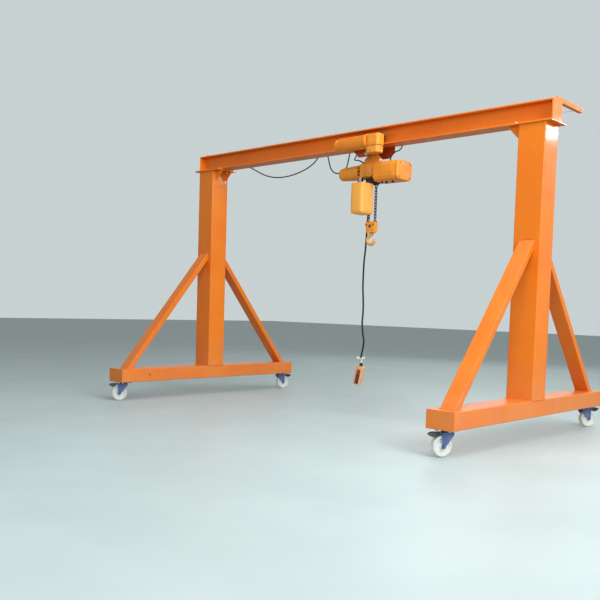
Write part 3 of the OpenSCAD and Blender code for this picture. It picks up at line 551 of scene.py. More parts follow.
bolts = start_mesh()
for side in (-1, 1):
    for y in (-CAP_BOLT_Y, CAP_BOLT_Y):
        hex_bolt(bolts, (side * CAP_BOLT_X, y, GIRDER_LOW + FLANGE_T), (0, 0, 1), 24, 12)
        hex_bolt(bolts, (side * CAP_BOLT_X, y, COLUMN_TOP), (0, 0, -1), 24, 15)
        drum(bolts, 7.5, 26, (side * CAP_BOLT_X, y, COLUMN_TOP), (0, 0, -1), sides=20, soft=1)
    for y in (35, 70):
        hex_bolt(bolts, (side * BRACKET_X - 4, y, GIRDER_TOP + 5), (0, 0, 1), 16, 8)
    for end in (-1, 1):
        for dx in (-PAD_BOLT[0], PAD_BOLT[0]):
            for dy in (-PAD_BOLT[1], PAD_BOLT[1]):
                hex_bolt(bolts, (side * COLUMN_X + dx, end * CASTER_Y + dy, PAD_LOW), (0, 0, -1), 18, 7)
piece("frame_bolts", bolts, "bright_steel", "root")

# %% [markdown]
# ## Casters
# A caster is a ball race under a plate, a pressed steel fork, a nylon wheel and a brake pedal.
# The forks and pedals are dressed CAD pieces. The wheel is spun from its section, which is
# how a turned wheel is made, with a sunk web on both sides and a groove between rim and tread.

# %% Spin the wheels and dress the forks
AXLE_Z = 85.0
TRAIL = 45.0
WHEEL_HALF = 27.5
corners = {"near_left": (-1, -1), "near_right": (1, -1), "far_left": (-1, 1), "far_right": (1, 1)}


def caster_place(side, end):
    return Matrix.Translation((side * COLUMN_X, end * CASTER_Y, 0)) @ Matrix.Rotation(caster_turn(side, end), 4, "Z")


def caster_wheel(corner, side, end):
    mesh = start_mesh()
    half = [(7.3, 31.5), (12, 31.5), (13, 30), (22, 30), (24, 28), (27, 17), (31, 15), (57, 15), (61, 17),
            (65, 24.5), (69, 26.5), (73, 26), (74.5, 23.5), (76, 25.5), (79.5, 25), (82.5, 22), (84.3, 15)]
    profile = [(x, h) for x, h in half] + [(AXLE_Z, 6), (AXLE_Z, -6)] + [(x, -h) for x, h in reversed(half)]
    lathe(mesh, profile + profile[:1], (TRAIL, 0, AXLE_Z), (0, 1, 0), sides=72)
    bmesh.ops.transform(mesh, matrix=caster_place(side, end), verts=mesh.verts)
    node = "caster_wheel_" + corner
    return piece("nylon_wheel_" + corner, mesh, "nylon", node, (node,))


def bearing_caps(corner, side, end):
    mesh = start_mesh()
    for face in (-1, 1):
        drum(mesh, 19, 3.4, (TRAIL, face * 30, AXLE_Z), (0, face, 0), sides=32, soft=1)
    bmesh.ops.transform(mesh, matrix=caster_place(side, end), verts=mesh.verts)
    return piece("bearing_caps_" + corner, mesh, "dark_steel", "caster_wheel_" + corner)


for corner, (side, end) in corners.items():
    dress("caster_fork_" + corner, edge=1.2)
    dress("brake_pedal_" + corner, edge=2.5)
    caster_wheel(corner, side, end)
    bearing_caps(corner, side, end)
print("four casters ready")

# %% [markdown]
# ## The hoist motor and its gearbox
# The motor's shell is a casting that tapers towards its end cap. Between it and the gearbox
# is an open lantern, a ring on ribs, whose dark gaps show in the photograph. The gearbox is
# a box with well rounded corners and a round bolted cover. Spinning suits the motor, and a
# cube with its long edges bevelled wide suits the gearbox, because its faces stay flat.

# %% Turn the motor's shell
HOIST_Z = 2535
MOTOR_X = -70
LANTERN_X = 185
GEAR_X = 245
CONTROL_X = 440
MOTOR_R = 80


def motor_shell():
    mesh = start_mesh()
    length = LANTERN_X - MOTOR_X
    profile = [(0, 0), (20, 0), (22, 1.5), (40, 1.5), (52, 4), (60, 10), (64, 19), (65, 30), (65, 41),
               (62.5, 42.5), (62.5, 46), (67, 47), (68.3, 49), (79, length - 17), (76.5, length - 15),
               (76.5, length - 12), (80, length - 10.5), (80, length - 1), (79, length), (0, length)]
    lathe(mesh, profile, (MOTOR_X, 0, HOIST_Z), (1, 0, 0), sides=96)
    for k in range(4):
        angle = pi / 4 + k * pi / 2
        spot = (MOTOR_X + 3, 48 * cos(angle), HOIST_Z + 48 * sin(angle))
        cap_screw(mesh, spot, (-1, 0, 0), 5, 4)
    return piece("motor_shell", mesh, "hoist_paint", "trolley", ("hoist_motor",))


motor_shell()


# %% Shape the lantern and the gear housing
def lantern(mesh):
    drum(mesh, MOTOR_R, 9, (LANTERN_X, 0, HOIST_Z), (1, 0, 0), sides=96, soft=1.5)
    for k in range(12):
        turn = Matrix.Translation((0, 0, HOIST_Z)) @ Matrix.Rotation((k + 0.5) * pi / 6, 4, "X")
        box(mesh, (LANTERN_X + 2, -4.5, 50), (GEAR_X + 3, 4.5, MOTOR_R - 2), 1.2, place=turn)


def round_cover(mesh, x, z):
    drum(mesh, 65, 40, (x, -67, z), (0, -1, 0), sides=72, soft=2)
    drum(mesh, 44, 4, (x, -106, z), (0, -1, 0), sides=64, soft=1.5)
    drum(mesh, 35, 12, (x, -103, z), (0, -1, 0), sides=64, soft=3)


def gear_housing():
    mesh = start_mesh()
    loaf(mesh, (GEAR_X, -95, 2455), (CONTROL_X, 95, 2615), 36, 0, rim=4)
    loaf(mesh, (GEAR_X + 62, -96.5, 2453.5), (GEAR_X + 70, 96.5, 2616.5), 37, 0, rim=1.2)
    lantern(mesh)
    round_cover(mesh, COVER_X, COVER_Z)
    return piece("gear_housing", mesh, "hoist_paint", "trolley", ("hoist_gearbox",))


COVER_X = 375
COVER_Z = 2530
gear_housing()
# A black drum fills the lantern's inside so that the gaps between its ribs look dark and deep: painted shade in the
# form of a dark solid.
core = start_mesh()
drum(core, 57, GEAR_X - LANTERN_X + 2, (LANTERN_X - 1, 0, HOIST_Z), (1, 0, 0), sides=48)
piece("lantern_painted_shade_core", core, "black_plastic", "trolley")

# %% Add the screws of the covers
screws = start_mesh()
for k in range(8):
    angle = pi / 8 + k * pi / 4
    cap_screw(screws, (COVER_X + 55 * cos(angle), -107, COVER_Z + 55 * sin(angle)), (0, -1, 0), 4.5, 4.5)
hex_bolt(screws, (COVER_X, -115, COVER_Z), (0, -1, 0), 17, 6)
for y in (-74, 74):
    for z in (2480, 2590):
        cap_screw(screws, (GEAR_X + 61, y, z), (-1, 0, 0), 5, 5)
piece("cover_screws", screws, "bright_steel", "trolley")

# %% [markdown]
# ## Under the gearbox
# The chain runs into a black guide with a collar round each fall. Two gussets carry the
# chain bag. Cable glands are hexagons with a tapered sleeve round the cable.

# %% Build the guide, the gussets and the glands
def gland(mesh, base, axis, across, length):
    axis = Vector(axis).normalized()
    base = Vector(base)
    drum(mesh, across / sqrt(3), length * 0.45, base, axis, sides=6, soft=0.8)
    drum(mesh, across * 0.5, length * 0.55, base + axis * length * 0.45, axis, sides=32, soft=1.5,
         top=across * 0.36)


def chain_guide():
    mesh = start_mesh()
    box(mesh, (278, -32, 2403), (422, 32, 2462), 3)
    for x in (308, 392):
        lathe(mesh, [(19.5, 0), (25, 0), (27, 2), (27, 14), (19.5, 14), (19.5, 0)], (x, 0, 2390), (0, 0, 1), 40)
    outline = [(-35, 2468), (-80, 2468), (-160, 2395.3), (-35, 2395.3)]
    for x in (246, 390):
        upright = Matrix(((0, 0, 1, x), (1, 0, 0, 0), (0, 1, 0, 0), (0, 0, 0, 1)))
        plate(mesh, outline, 5, upright, soft=0.8)
    box(mesh, (250, 35, 2612), (290, 75, 2653), 3)
    gland(mesh, (250, 55, 2633), (-1, 0, 0), 26, 20)
    drum(mesh, 15, 48, (262, 60, 2432), (0, 0, 1), sides=32, soft=1)
    gland(mesh, (262, 60, 2452), (0, 0, -1), 34, 40)
    return piece("chain_guide", mesh, "black_plastic", "trolley")


chain_guide()

# %% [markdown]
# ## The control housing
# The contactors sit in a moulded box with big round corners. Its end is a separate cap with
# a rounded rim, held by screws, and a long groove runs along its near side. Underneath are
# three glands and on top the gland of the lead that goes up to the trolley.

# %% Mould the control housing
def control_housing():
    mesh = start_mesh()
    joint = CONTROL_X + 258
    loaf(mesh, (CONTROL_X, -127.5, 2410), (joint, 127.5, 2606), 52, 0, rim=3, rounding=10)
    loaf(mesh, (joint - 2, -124, 2413.5), (joint + 5, 124, 2602.5), 49, 0, rounding=10)
    loaf(mesh, (joint + 3, -127.5, 2410), (740, 127.5, 2606), 52, 0, rim=15, rounding=10)
    box(mesh, (500, -130.5, 2456), (676, -126, 2462), 1.2)
    box(mesh, (500, -130.5, 2478), (676, -126, 2484), 1.2)
    loaf(mesh, (516, -130, 2500), (660, -126, 2562), 8, 1, rim=1.2)
    for y in (-96, 96):
        for z in (2440, 2576):
            drum(mesh, 9, 4, (736, y * 0.9, z), (1, 0, 0), sides=24, soft=1.2)
    return piece("control_housing", mesh, "hoist_paint", "trolley", ("hoist_control",))


control_housing()

bracket = start_mesh()
box(bracket, (250, -113, 2378), (282, -109, 2466), 1.2)
box(bracket, (250, -112, 2462), (282, -92, 2466), 1.2)
for x, z in ((258, 2388), (274, 2388)):
    cap_screw(bracket, (x, -113, z), (0, -1, 0), 4, 3)
piece("bag_bracket", bracket, "bright_steel", "trolley")

fittings = start_mesh()
for x, across in ((500, 22), (557, 26), (632, 24)):
    gland(fittings, (x, -50, 2412), (0, 0, -1), across, 22)
gland(fittings, (528, 40, 2603), (0, 0, 1), 24, 29)
box(fittings, (494, 113, 2836), (524, 146, 2864), 2.5)
gland(fittings, (524, 132, 2850), (1, 0, 0), 20, 15)
piece("cable_glands", fittings, "black_plastic", "trolley")

# %% [markdown]
# ## The chain bag
# The spare chain falls into a stiff bag of coated cloth that hangs in front of the hook. It
# is one shell: a block with round corners, its top taken off, its walls pushed out a little
# by the load, and a hem round the mouth. The chain inside is a heap of dark links, of which
# only the top shows. Cloth simulation would wrinkle a material that in fact stands stiff.

# %% Form the bag
BAG_LOW = Vector((238, -233.5, 2085))
BAG_HIGH = Vector((398, -33.5, 2395))
BAG_R = 30


def open_top(mesh, height):
    lids = [f for f in mesh.faces if f.normal.z > 0.9 and f.calc_center_median().z > height - 1]
    bmesh.ops.delete(mesh, geom=lids, context="FACES_ONLY")


def bag_shell():
    mesh = start_mesh()
    loaf(mesh, BAG_LOW, BAG_HIGH, BAG_R, 2, rounding=6)
    mesh.normal_update()
    open_top(mesh, BAG_HIGH.z)
    soles = [f for f in mesh.faces if f.normal.z < -0.9]
    soften(mesh, {e for f in soles for e in f.edges}, 26, 6)
    for z in range(16):
        level = BAG_LOW.z + 34 + z * 17
        bmesh.ops.bisect_plane(mesh, geom=mesh.verts[:] + mesh.edges[:] + mesh.faces[:],
                               plane_co=(0, 0, level), plane_no=(0, 0, 1))
    for along, count in ((0, 6), (1, 8)):
        for k in range(1, count):
            spot = BAG_LOW.lerp(BAG_HIGH, k / count)
            plane_no = (1, 0, 0) if along == 0 else (0, 1, 0)
            bmesh.ops.bisect_plane(mesh, geom=mesh.verts[:] + mesh.edges[:] + mesh.faces[:],
                                   plane_co=spot, plane_no=plane_no)
    middle = (BAG_LOW + BAG_HIGH) / 2
    half = (BAG_HIGH - BAG_LOW) / 2
    for vert in mesh.verts:
        u, v = (vert.co.x - middle.x) / half.x, (vert.co.y - middle.y) / half.y
        w = (vert.co.z - BAG_LOW.z) / (2 * half.z)
        load = 4 * w * (1 - w)
        vert.co.x += u * (4.0 * load * (1 - v * v) - 1.5)
        vert.co.y += v * (4.0 * load * (1 - u * u) - 1.5)
    return mesh


bag = piece("chain_bag_shell", bag_shell(), "bag_plastic", "trolley", ("chain_bag",), even=False)
wall = bag.modifiers.new("wall", "SOLIDIFY")
wall.thickness = 3 * MM
wall.offset = -1

# %% Hem its mouth and heap the chain inside
def bag_hem():
    mesh = start_mesh()
    loaf(mesh, BAG_LOW + Vector((1, 1, 290)), BAG_HIGH + Vector((-1, -1, 0)), BAG_R, 2, rounding=6)
    mesh.normal_update()
    caps = [f for f in mesh.faces if abs(f.normal.z) > 0.9]
    bmesh.ops.delete(mesh, geom=caps, context="FACES_ONLY")
    return mesh


hem = piece("chain_bag_hem", bag_hem(), "bag_plastic", "trolley", even=False)
band = hem.modifiers.new("band", "SOLIDIFY")
band.thickness = 6 * MM
band.offset = -1

heap = start_mesh()
for k in range(90):
    ring, step = divmod(k, 15)
    angle = step * 2 * pi / 15 + ring * 0.9
    reach = 18 + 10 * ring
    spot = Vector((318 + reach * 0.85 * cos(angle), -133 + reach * 1.15 * sin(angle), 2308 - ring * 5))
    tilt = Matrix.Rotation(angle * 1.7, 4, "Z") @ Matrix.Rotation(0.5 + 0.4 * (k % 3), 4, "X")
    lathe(heap, [(9, -5), (14, -5), (16, 0), (14, 5), (9, 5), (7, 0), (9, -5)], (0, 0, 0), (0, 0, 1), 12)
    made = heap.verts[-84:]
    bmesh.ops.transform(heap, matrix=Matrix.Translation(spot) @ tilt, verts=made)
piece("spare_chain", heap, "dark_steel", "trolley", even=False)

# %% [markdown]
# ## The trolley's drive
# A small finned motor lies along the girder and drives the near wheels through a stepped
# gearbox. Its fins are cooling ribs cast on the shell: a loop of thin boxes round a drum. The
# fan cover at the left end has a grille of slots.

# %% Build the drive
DRIVE_Y = -200
DRIVE_Z = 2795
DRIVE_X = 25
DRIVE_BOX_X = 430
FINS = 32


def drive_motor():
    mesh = start_mesh()
    drum(mesh, 65.5, DRIVE_BOX_X - DRIVE_X - 40, (DRIVE_X + 40, DRIVE_Y, DRIVE_Z), (1, 0, 0), sides=64)
    for k in range(FINS):
        turn = Matrix.Translation((0, DRIVE_Y, DRIVE_Z)) @ Matrix.Rotation(k * 2 * pi / FINS, 4, "X")
        box(mesh, (DRIVE_X + 52, -1.6, 62), (DRIVE_BOX_X - 26, 1.6, 69.8), 0.8, place=turn)
    profile = [(0, 0), (44, 0), (54, 2), (60, 7), (62, 14), (63, 40), (67, 42), (67, 47), (0, 47)]
    lathe(mesh, profile, (DRIVE_X, DRIVE_Y, DRIVE_Z), (1, 0, 0), sides=72)
    lathe(mesh, [(0, 0), (72, 0), (74.5, 2), (74.5, 14), (73, 16), (0, 16)],
          (DRIVE_BOX_X - 15, DRIVE_Y, DRIVE_Z), (1, 0, 0), sides=72)
    return piece("drive_motor_shell", mesh, "hoist_paint", "trolley", ("drive_motor",))


def drive_gearbox():
    mesh = start_mesh()
    loaf(mesh, (DRIVE_BOX_X, -260, 2742), (590, -140, 2855), 38, 2, rim=6)
    loaf(mesh, (440, -250, 2736), (580, -146, 2744), 36, 2)
    loaf(mesh, (418, -256, 2670), (588, -144, 2738), 46, 2, rim=6)
    loaf(mesh, (468, -262, 2760), (566, -257, 2838), 12, 1, rim=1.5)
    drum(mesh, 55, 88, (470, DRIVE_Y, DRIVE_Z), (0, 1, 0), sides=64, soft=2)
    drum(mesh, 62, 8, (470, -121.5, DRIVE_Z), (0, 1, 0), sides=64, soft=1.5)
    return piece("drive_gear_case", mesh, "hoist_paint", "trolley")


drive_motor()
drive_gearbox()

# %% Add its grille, screws and plugs
grille = start_mesh()
for ring, count in ((20, 8), (34, 12), (48, 16)):
    for k in range(count):
        turn = Matrix.Translation((0, DRIVE_Y, DRIVE_Z)) @ Matrix.Rotation(k * 2 * pi / count, 4, "X")
        box(grille, (DRIVE_X - 0.6, -3, ring - 4), (DRIVE_X + 2, 3, ring + 4), 0.5, place=turn)
drum(grille, 9, 10, (446, -222, 2855), (0, 0, 1), sides=6, soft=1)
drum(grille, 5, 14, (446, -222, 2855), (0, 0, 1), sides=20, soft=1)
piece("fan_grille", grille, "black_plastic", "trolley")

drive_screws = start_mesh()
for x in (478, 556):
    for z in (2770, 2828):
        cap_screw(drive_screws, (x, -262, z), (0, -1, 0), 4, 3)
for k in range(4):
    angle = pi / 4 + k * pi / 2
    spot = (DRIVE_BOX_X - 15, DRIVE_Y + 70 * cos(angle) * 0.98, DRIVE_Z + 70 * sin(angle) * 0.98)
    cap_screw(drive_screws, spot, (-1, 0, 0), 4, 5)
hex_bolt(drive_screws, (500, -256, 2700), (0, -1, 0), 17, 6)
for x, y, out in ((225, -113.5, -1), (225, 121.5, 1), (475, 113.5, 1)):
    hex_bolt(drive_screws, (x, y, 2843), (0, out, 0), 36, 14, washer=4)
piece("trolley_screws", drive_screws, "bright_steel", "trolley")

# %% [markdown]
# ## The hook
# A forged hook swells at the bottom of its bowl, where the load bends it most, and tapers to
# its tip. The CAD model's bar has one step, so here a curve with a radius at each point
# draws the true forging along the same two arcs.

# %% Forge the hook
HOOK = Vector((350, 0, 1836))
NECK_R = 24
BOWL_R = 46
TIP_ANGLE = 345
TIP_LENGTH = 24


def hook_line():
    neck = degrees(acos(NECK_R / (NECK_R + BOWL_R)))
    neck_z = (NECK_R + BOWL_R) * sin(radians(neck))
    line = [((0, neck_z + 34), 13.0), ((0, neck_z + 10), 13.0), ((0, neck_z + 5), 15.5), ((0, neck_z), 17.5)]
    for k in range(1, 8):
        a = radians(-neck * k / 8)
        line.append(((NECK_R * cos(a) - NECK_R, neck_z + NECK_R * sin(a)), 17.5 - 0.06 * k))
    start = 180 - neck
    for k in range(0, 25):
        a = start + (TIP_ANGLE - start) * k / 24
        thick = 17.0 - 1.5 * max(0, (k - 15) / 9)
        line.append(((BOWL_R * cos(radians(a)), BOWL_R * sin(radians(a))), thick))
    ahead_x, ahead_z = -sin(radians(TIP_ANGLE)), cos(radians(TIP_ANGLE))
    tip_x, tip_z = BOWL_R * cos(radians(TIP_ANGLE)), BOWL_R * sin(radians(TIP_ANGLE))
    for step, thick in ((0.3, 13.6), (0.6, 11.6), (0.85, 9.4), (0.96, 7.0), (1.0, 3.5)):
        line.append(((tip_x + ahead_x * TIP_LENGTH * step, tip_z + ahead_z * TIP_LENGTH * step), thick))
    return line


places = [(HOOK + Vector((x, 0, z))) * MM for (x, z), thick in hook_line()]
forging = start_mesh(swept(places, MM, swell=[thick for place, thick in hook_line()]))
box(forging, (355.5, -5, 1886.8), (379, 5, 1898.5), 1.5)
drum(forging, 3, 22, (373.5, -11, 1892.8), (0, 1, 0), sides=20, soft=0.6)
piece("forged_hook", forging, "hook_paint", "hook", ("hook",), even=False)

# %% Pin the hook block
block_pins = start_mesh()
for face in (-1, 1):
    drum(block_pins, 17, 4, (350, face * 29.5, 1976), (0, face, 0), sides=32, soft=1.2)
    for x in (308, 392):
        drum(block_pins, 8, 4, (x, face * 29.5, 1990), (0, face, 0), sides=20, soft=1)
    for x in (318, 382):
        cap_screw(block_pins, (x, face * 30, 1935), (0, face, 0), 5, 4)
for x in (308, 392):
    lathe(block_pins, [(18.5, 0), (24, 0), (24, 5), (22, 7), (18.5, 7), (18.5, 0)], (x, 0, 2019.5), (0, 0, 1), 40)
drum(block_pins, 22, 6, (350, 0, 1901), (0, 0, 1), sides=40, soft=1.5)
piece("block_pins", block_pins, "dark_steel", "trolley")

# %% [markdown]
# ## The pendant
# The operator's case hangs on its cable. It is a moulded grip with a ribbed sleeve at the
# top, a dark front plate and two columns of buttons under a red stop knob. It hangs a few
# degrees off plumb, so it is built upright and turned with one matrix at the end.

# %% Mould the pendant
PENDANT_TILT = radians(12)
pendant_place = Matrix.Translation((236, 60, 545)) @ Matrix.Rotation(PENDANT_TILT, 4, "Y")


def hang(mesh):
    bmesh.ops.transform(mesh, matrix=pendant_place, verts=mesh.verts)
    return mesh


case = start_mesh()
loaf(case, (-44, -29, -231), (44, 29, -26), 13, 2, rim=7)
loaf(case, (-45, -4, -228), (45, 2, -29), 2.5, 1, rim=1)
piece("pendant_case", hang(case), "pendant_plastic", "trolley", ("pendant",))

sleeve = start_mesh()
rings = [(9.2, 0.0), (12, 0.0)]
for k in range(5):
    top_r, z = 13 + k * 1.9, -2.0 - k * 5
    rings += [(top_r, z), (top_r + 0.6, z - 3), (top_r - 1.6, z - 3.4), (top_r - 1.6, z - 4.6)]
lathe(sleeve, rings + [(22, -27), (0, -27)], (0, 0, 0), (0, 0, 1), sides=40)
piece("pendant_sleeve", hang(sleeve), "cable_rubber", "trolley")

front = start_mesh()
loaf(front, (-16, -31.5, -222), (30, -27, -66), 6, 1, rim=1)
piece("pendant_front", hang(front), "pendant_panel", "trolley")

keys = start_mesh()
for row in range(3):
    for x in (-4.5, 18.5):
        drum(keys, 8, 5.5, (x, -31, -132 - row * 32), (0, -1, 0), sides=28, soft=1.4)
piece("pendant_buttons", hang(keys), "black_plastic", "trolley")

stop = start_mesh()
drum(stop, 8, 7, (7, -31, -92), (0, -1, 0), sides=28)
lathe(stop, [(0, 5), (14, 5), (15.5, 7), (15, 11), (11, 13.5), (0, 14.5)], (7, -31, -92), (0, -1, 0), 36)
piece("pendant_stop_knob", hang(stop), "stop_red", "trolley")

# %% [markdown]
# A white tie and a scrap of clear wrapping sit on the cable above the case, as they often do
# on a new machine. The wrapping is a spun sleeve whose points are pushed in and out.

# %% Tie the wrapping
tie = start_mesh()
lathe(tie, [(9.4, -3), (11.6, -3), (11.6, 3), (9.4, 3), (9.4, -3)], (229, 60, 602), (0.1, 0, 1), 28)
for turn, lift in ((44, -0.22), (224, 0.05), (50, 0.20), (215, -0.25)):
    wing = Matrix.Translation((229, 58, 602)) @ Matrix.Rotation(radians(turn), 4, "Z")
    box(tie, (10, -1, -6), (44, 1, 6), 0.8, place=wing @ Matrix.Rotation(lift, 4, "Y"))
piece("cable_tie", tie, "nylon", "trolley")

wrap = start_mesh()
lathe(wrap, [(11, 0), (13, -8), (15, -18), (17, -30), (19, -40), (18, -50)], (229, 60, 599), (-0.1, 0, 1), 40)
for i, vert in enumerate(wrap.verts):
    angle = atan2(vert.co.y - 60, vert.co.x - 229)
    crease = 1.4 * sin(angle * 5 + vert.co.z * 0.16) + 0.9 * sin(angle * 9 - vert.co.z * 0.31)
    vert.co.x += crease * cos(angle)
    vert.co.y += crease * sin(angle)
film = piece("wrapping", wrap, "clear_film", "trolley", even=False)
skin = film.modifiers.new("skin", "SOLIDIFY")
skin.thickness = 0.5 * MM

# %% [markdown]
# ## Finishes
# Every finish is a network on Object coordinates, so a pattern stays put when a piece moves.
# Enamel is a clear coat over an even colour with a faint orange-peel ripple. Its undersides
# are darkened towards a deep red-brown, which is painted shade. On top of it come the marks
# of use: colour that drifts a little from panel to panel, fine scratches, dust that gathers
# low down, and primer that shows on edges. One class keeps each network down to a few
# readable lines.

# %% A short way to write a network
class Finish:
    def __init__(self, name):
        self.material = finish_named(name)
        self.material.use_nodes = True
        self.tree = self.material.node_tree
        self.tree.nodes.clear()
        self.shader = self.add("BsdfPrincipled")
        output = self.add("OutputMaterial")
        self.tree.links.new(self.shader.outputs[0], output.inputs[0])
        self.place = self.add("TexCoord").outputs["Object"]

    def add(self, kind, inputs=None, **settings):
        made = self.tree.nodes.new("ShaderNode" + kind)
        for key, value in settings.items():
            setattr(made, key, value)
        for key, value in (inputs or {}).items():
            self.feed(made.inputs[key], value)
        return made

    def feed(self, socket, value):
        if isinstance(value, bpy.types.NodeSocket):
            self.tree.links.new(value, socket)
        else:
            socket.default_value = value

    def noise(self, scale, detail=3.0, stretch=(1, 1, 1)):
        place = self.add("Mapping", {"Vector": self.place, "Scale": stretch}).outputs[0]
        return self.add("TexNoise", {"Vector": place, "Scale": scale, "Detail": detail}).outputs["Fac"]

    def spread(self, value, low, high, start=0.0, end=1.0):
        return self.add("MapRange", {"Value": value, "From Min": low, "From Max": high, "To Min": start,
                                     "To Max": end}, interpolation_type="SMOOTHSTEP").outputs[0]

    def times(self, a, b, operation="MULTIPLY"):
        return self.add("Math", {0: a, 1: b}, operation=operation).outputs[0]

    def mixed(self, factor, a, b):
        made = self.add("Mix", {0: factor, 6: a, 7: b}, data_type="RGBA")
        return made.outputs[2]

    def height(self):
        return self.add("SeparateXYZ", {0: self.place}).outputs[2]

    def facing(self):
        normal = self.add("TexCoord").outputs["Normal"]
        return self.add("SeparateXYZ", {0: normal}).outputs[2]

    def worn(self):
        return self.add("Attribute", attribute_name="worn").outputs["Fac"]

    def relief(self, height, distance_mm, strength=1.0):
        bump = self.add("Bump", {"Height": height, "Distance": distance_mm * MM, "Strength": strength})
        self.feed(self.shader.inputs["Normal"], bump.outputs[0])

    def set(self, **sockets):
        for key, value in sockets.items():
            title = key.replace("_", " ").title().replace("Ior", "IOR")
            self.feed(self.shader.inputs[title], value)


# %% Enamels
DUST = (0.42, 0.37, 0.30, 1)
PRIMER = (0.50, 0.20, 0.10, 1)
BARE = (0.46, 0.45, 0.43, 1)


def enamel(name, colour, drift, roughness, coat, dust=0.18, wear=0.5, dust_height=0.9, shade=0.45):
    f = Finish(name)
    body = f.mixed(f.spread(f.noise(2.3, 4), 0.35, 0.68), (*colour, 1), (*drift, 1))
    streaks = f.spread(f.noise(9, 5, (4, 4, 0.35)), 0.56, 0.80, 0, 0.30)
    body = f.mixed(streaks, body, (*[c * 0.72 for c in colour], 1))
    # Faces that point downwards are darkened towards a deep red-brown: painted shade on the undersides.
    underside_painted_shade = f.spread(f.facing(), -0.35, -0.95, 0, shade)
    body = f.mixed(underside_painted_shade, body, (colour[0] * 0.45, colour[1] * 0.30, colour[2] * 0.6, 1))
    low = f.spread(f.height(), dust_height, 0.12, 0, dust)
    grime = f.times(low, f.spread(f.noise(7, 6), 0.30, 0.75, 0.35, 1.0))
    body = f.mixed(grime, body, DUST)
    scratch = f.times(f.spread(f.noise(60, 5, (1, 1, 0.12)), 0.66, 0.72), 0.35)
    body = f.mixed(scratch, body, (*[min(1, c * 1.25 + 0.06) for c in colour], 1))
    chips = f.times(f.worn(), f.spread(f.noise(85, 5), 0.52, 0.60, 0, wear))
    body = f.mixed(chips, body, PRIMER)
    rough = f.times(f.spread(f.noise(5, 5), 0.3, 0.7, roughness - 0.05, roughness + 0.07),
                    f.times(grime, 0.5), "ADD")
    peel = f.times(f.times(f.noise(420, 2), 0.5), f.times(f.noise(14, 2), 2.2), "ADD")
    f.relief(peel, 0.35, 0.35)
    f.set(base_color=body, roughness=rough, specular_ior_level=0.24, coat_weight=coat, coat_roughness=0.09)
    return f


enamel("frame_paint", (0.85, 0.212, 0.010), (0.81, 0.182, 0.009), 0.36, 0.18)
enamel("hoist_paint", (0.95, 0.340, 0.032), (0.90, 0.300, 0.026), 0.40, 0.16, dust=0.0, wear=0.35)
enamel("hook_paint", (0.84, 0.42, 0.12), (0.70, 0.32, 0.10), 0.50, 0.0, dust=0.0, wear=0.6)
enamel("trolley_paint", (0.46, 0.058, 0.014), (0.52, 0.085, 0.022), 0.42, 0.18, dust=0.0, wear=0.4)
enamel("fork_paint", (0.022, 0.085, 0.30), (0.030, 0.110, 0.36), 0.36, 0.35, dust=0.35, wear=0.6,
       dust_height=0.30)
print("enamels mixed")

# %% [markdown]
# Plastics, cloth and metals follow. Nylon yellows and takes up dirt where it rolls. The
# coated cloth of the bag has a fine weave under its coating. Zinc plating is a metal whose
# roughness drifts, and oiled steel is dark with lighter rubbed patches.

# %% Plastics, rubber and cloth
def plastic(name, colour, mark, roughness, grain=900.0, depth=0.15, dust=0.12):
    f = Finish(name)
    body = f.mixed(f.spread(f.noise(26, 5), 0.42, 0.72, 0, 0.45), (*colour, 1), (*mark, 1))
    body = f.mixed(f.times(f.spread(f.noise(9, 6), 0.5, 0.72), dust), body, DUST)
    rough = f.spread(f.noise(40, 4), 0.3, 0.7, roughness - 0.06, roughness + 0.1)
    f.relief(f.noise(grain, 2), depth, 0.5)
    f.set(base_color=body, roughness=rough)
    return f


plastic("pendant_plastic", (0.86, 0.44, 0.20), (0.80, 0.38, 0.16), 0.42)
plastic("pendant_panel", (0.22, 0.060, 0.022), (0.16, 0.045, 0.018), 0.38)
plastic("black_plastic", (0.018, 0.022, 0.021), (0.035, 0.038, 0.036), 0.48, dust=0.22)
rubber = plastic("cable_rubber", (0.008, 0.012, 0.012), (0.014, 0.018, 0.018), 0.52, grain=500, dust=0.04)
rubber.set(specular_ior_level=0.25)
plastic("stop_red", (0.55, 0.015, 0.012), (0.45, 0.012, 0.010), 0.30, dust=0.03)
nylon = plastic("nylon", (0.74, 0.77, 0.74), (0.60, 0.60, 0.52), 0.36, grain=300, depth=0.2, dust=0.30)
film_finish = plastic("clear_film", (0.80, 0.86, 0.86), (0.70, 0.80, 0.80), 0.22, dust=0.0)
film_finish.set(transmission_weight=0.55)

cloth = plastic("bag_plastic", (0.95, 0.42, 0.065), (0.91, 0.37, 0.052), 0.46, dust=0.06)
weave = cloth.add("TexWave", {"Vector": cloth.place, "Scale": 260.0, "Distortion": 0.6}, bands_direction="Z")
woof = cloth.add("TexWave", {"Vector": cloth.place, "Scale": 260.0, "Distortion": 0.6},
                 bands_direction="DIAGONAL")
cloth.relief(cloth.times(weave.outputs["Fac"], woof.outputs["Fac"]), 0.12, 0.5)

# %% Metals
def metal(name, colour, patch, roughness, stretch=(1, 1, 1)):
    f = Finish(name)
    body = f.mixed(f.spread(f.noise(22, 5, stretch), 0.38, 0.68), (*colour, 1), (*patch, 1))
    f.relief(f.noise(320, 3, stretch), 0.08, 0.5)
    f.set(base_color=body, metallic=1.0,
          roughness=f.spread(f.noise(48, 4, stretch), 0.3, 0.7, roughness - 0.08, roughness + 0.12))
    return f


metal("bright_steel", (0.56, 0.56, 0.55), (0.44, 0.43, 0.40), 0.32)
metal("dark_steel", (0.10, 0.098, 0.09), (0.17, 0.155, 0.135), 0.42)
print(len(bpy.data.materials), "finishes")

# %% [markdown]
# ## Floor, background and light
# The crane stands in a plain pale studio. The floor is one wide sheet that keeps the shadow,
# and the background is a pale world that only the camera and mirror-like surfaces see. The
# light is what a workshop has, a bright ceiling and tall windows to the right: all lamps are
# wide and soft, and the camera doesn't see them.

# %% Build the studio
FLOOR_HALF = 40


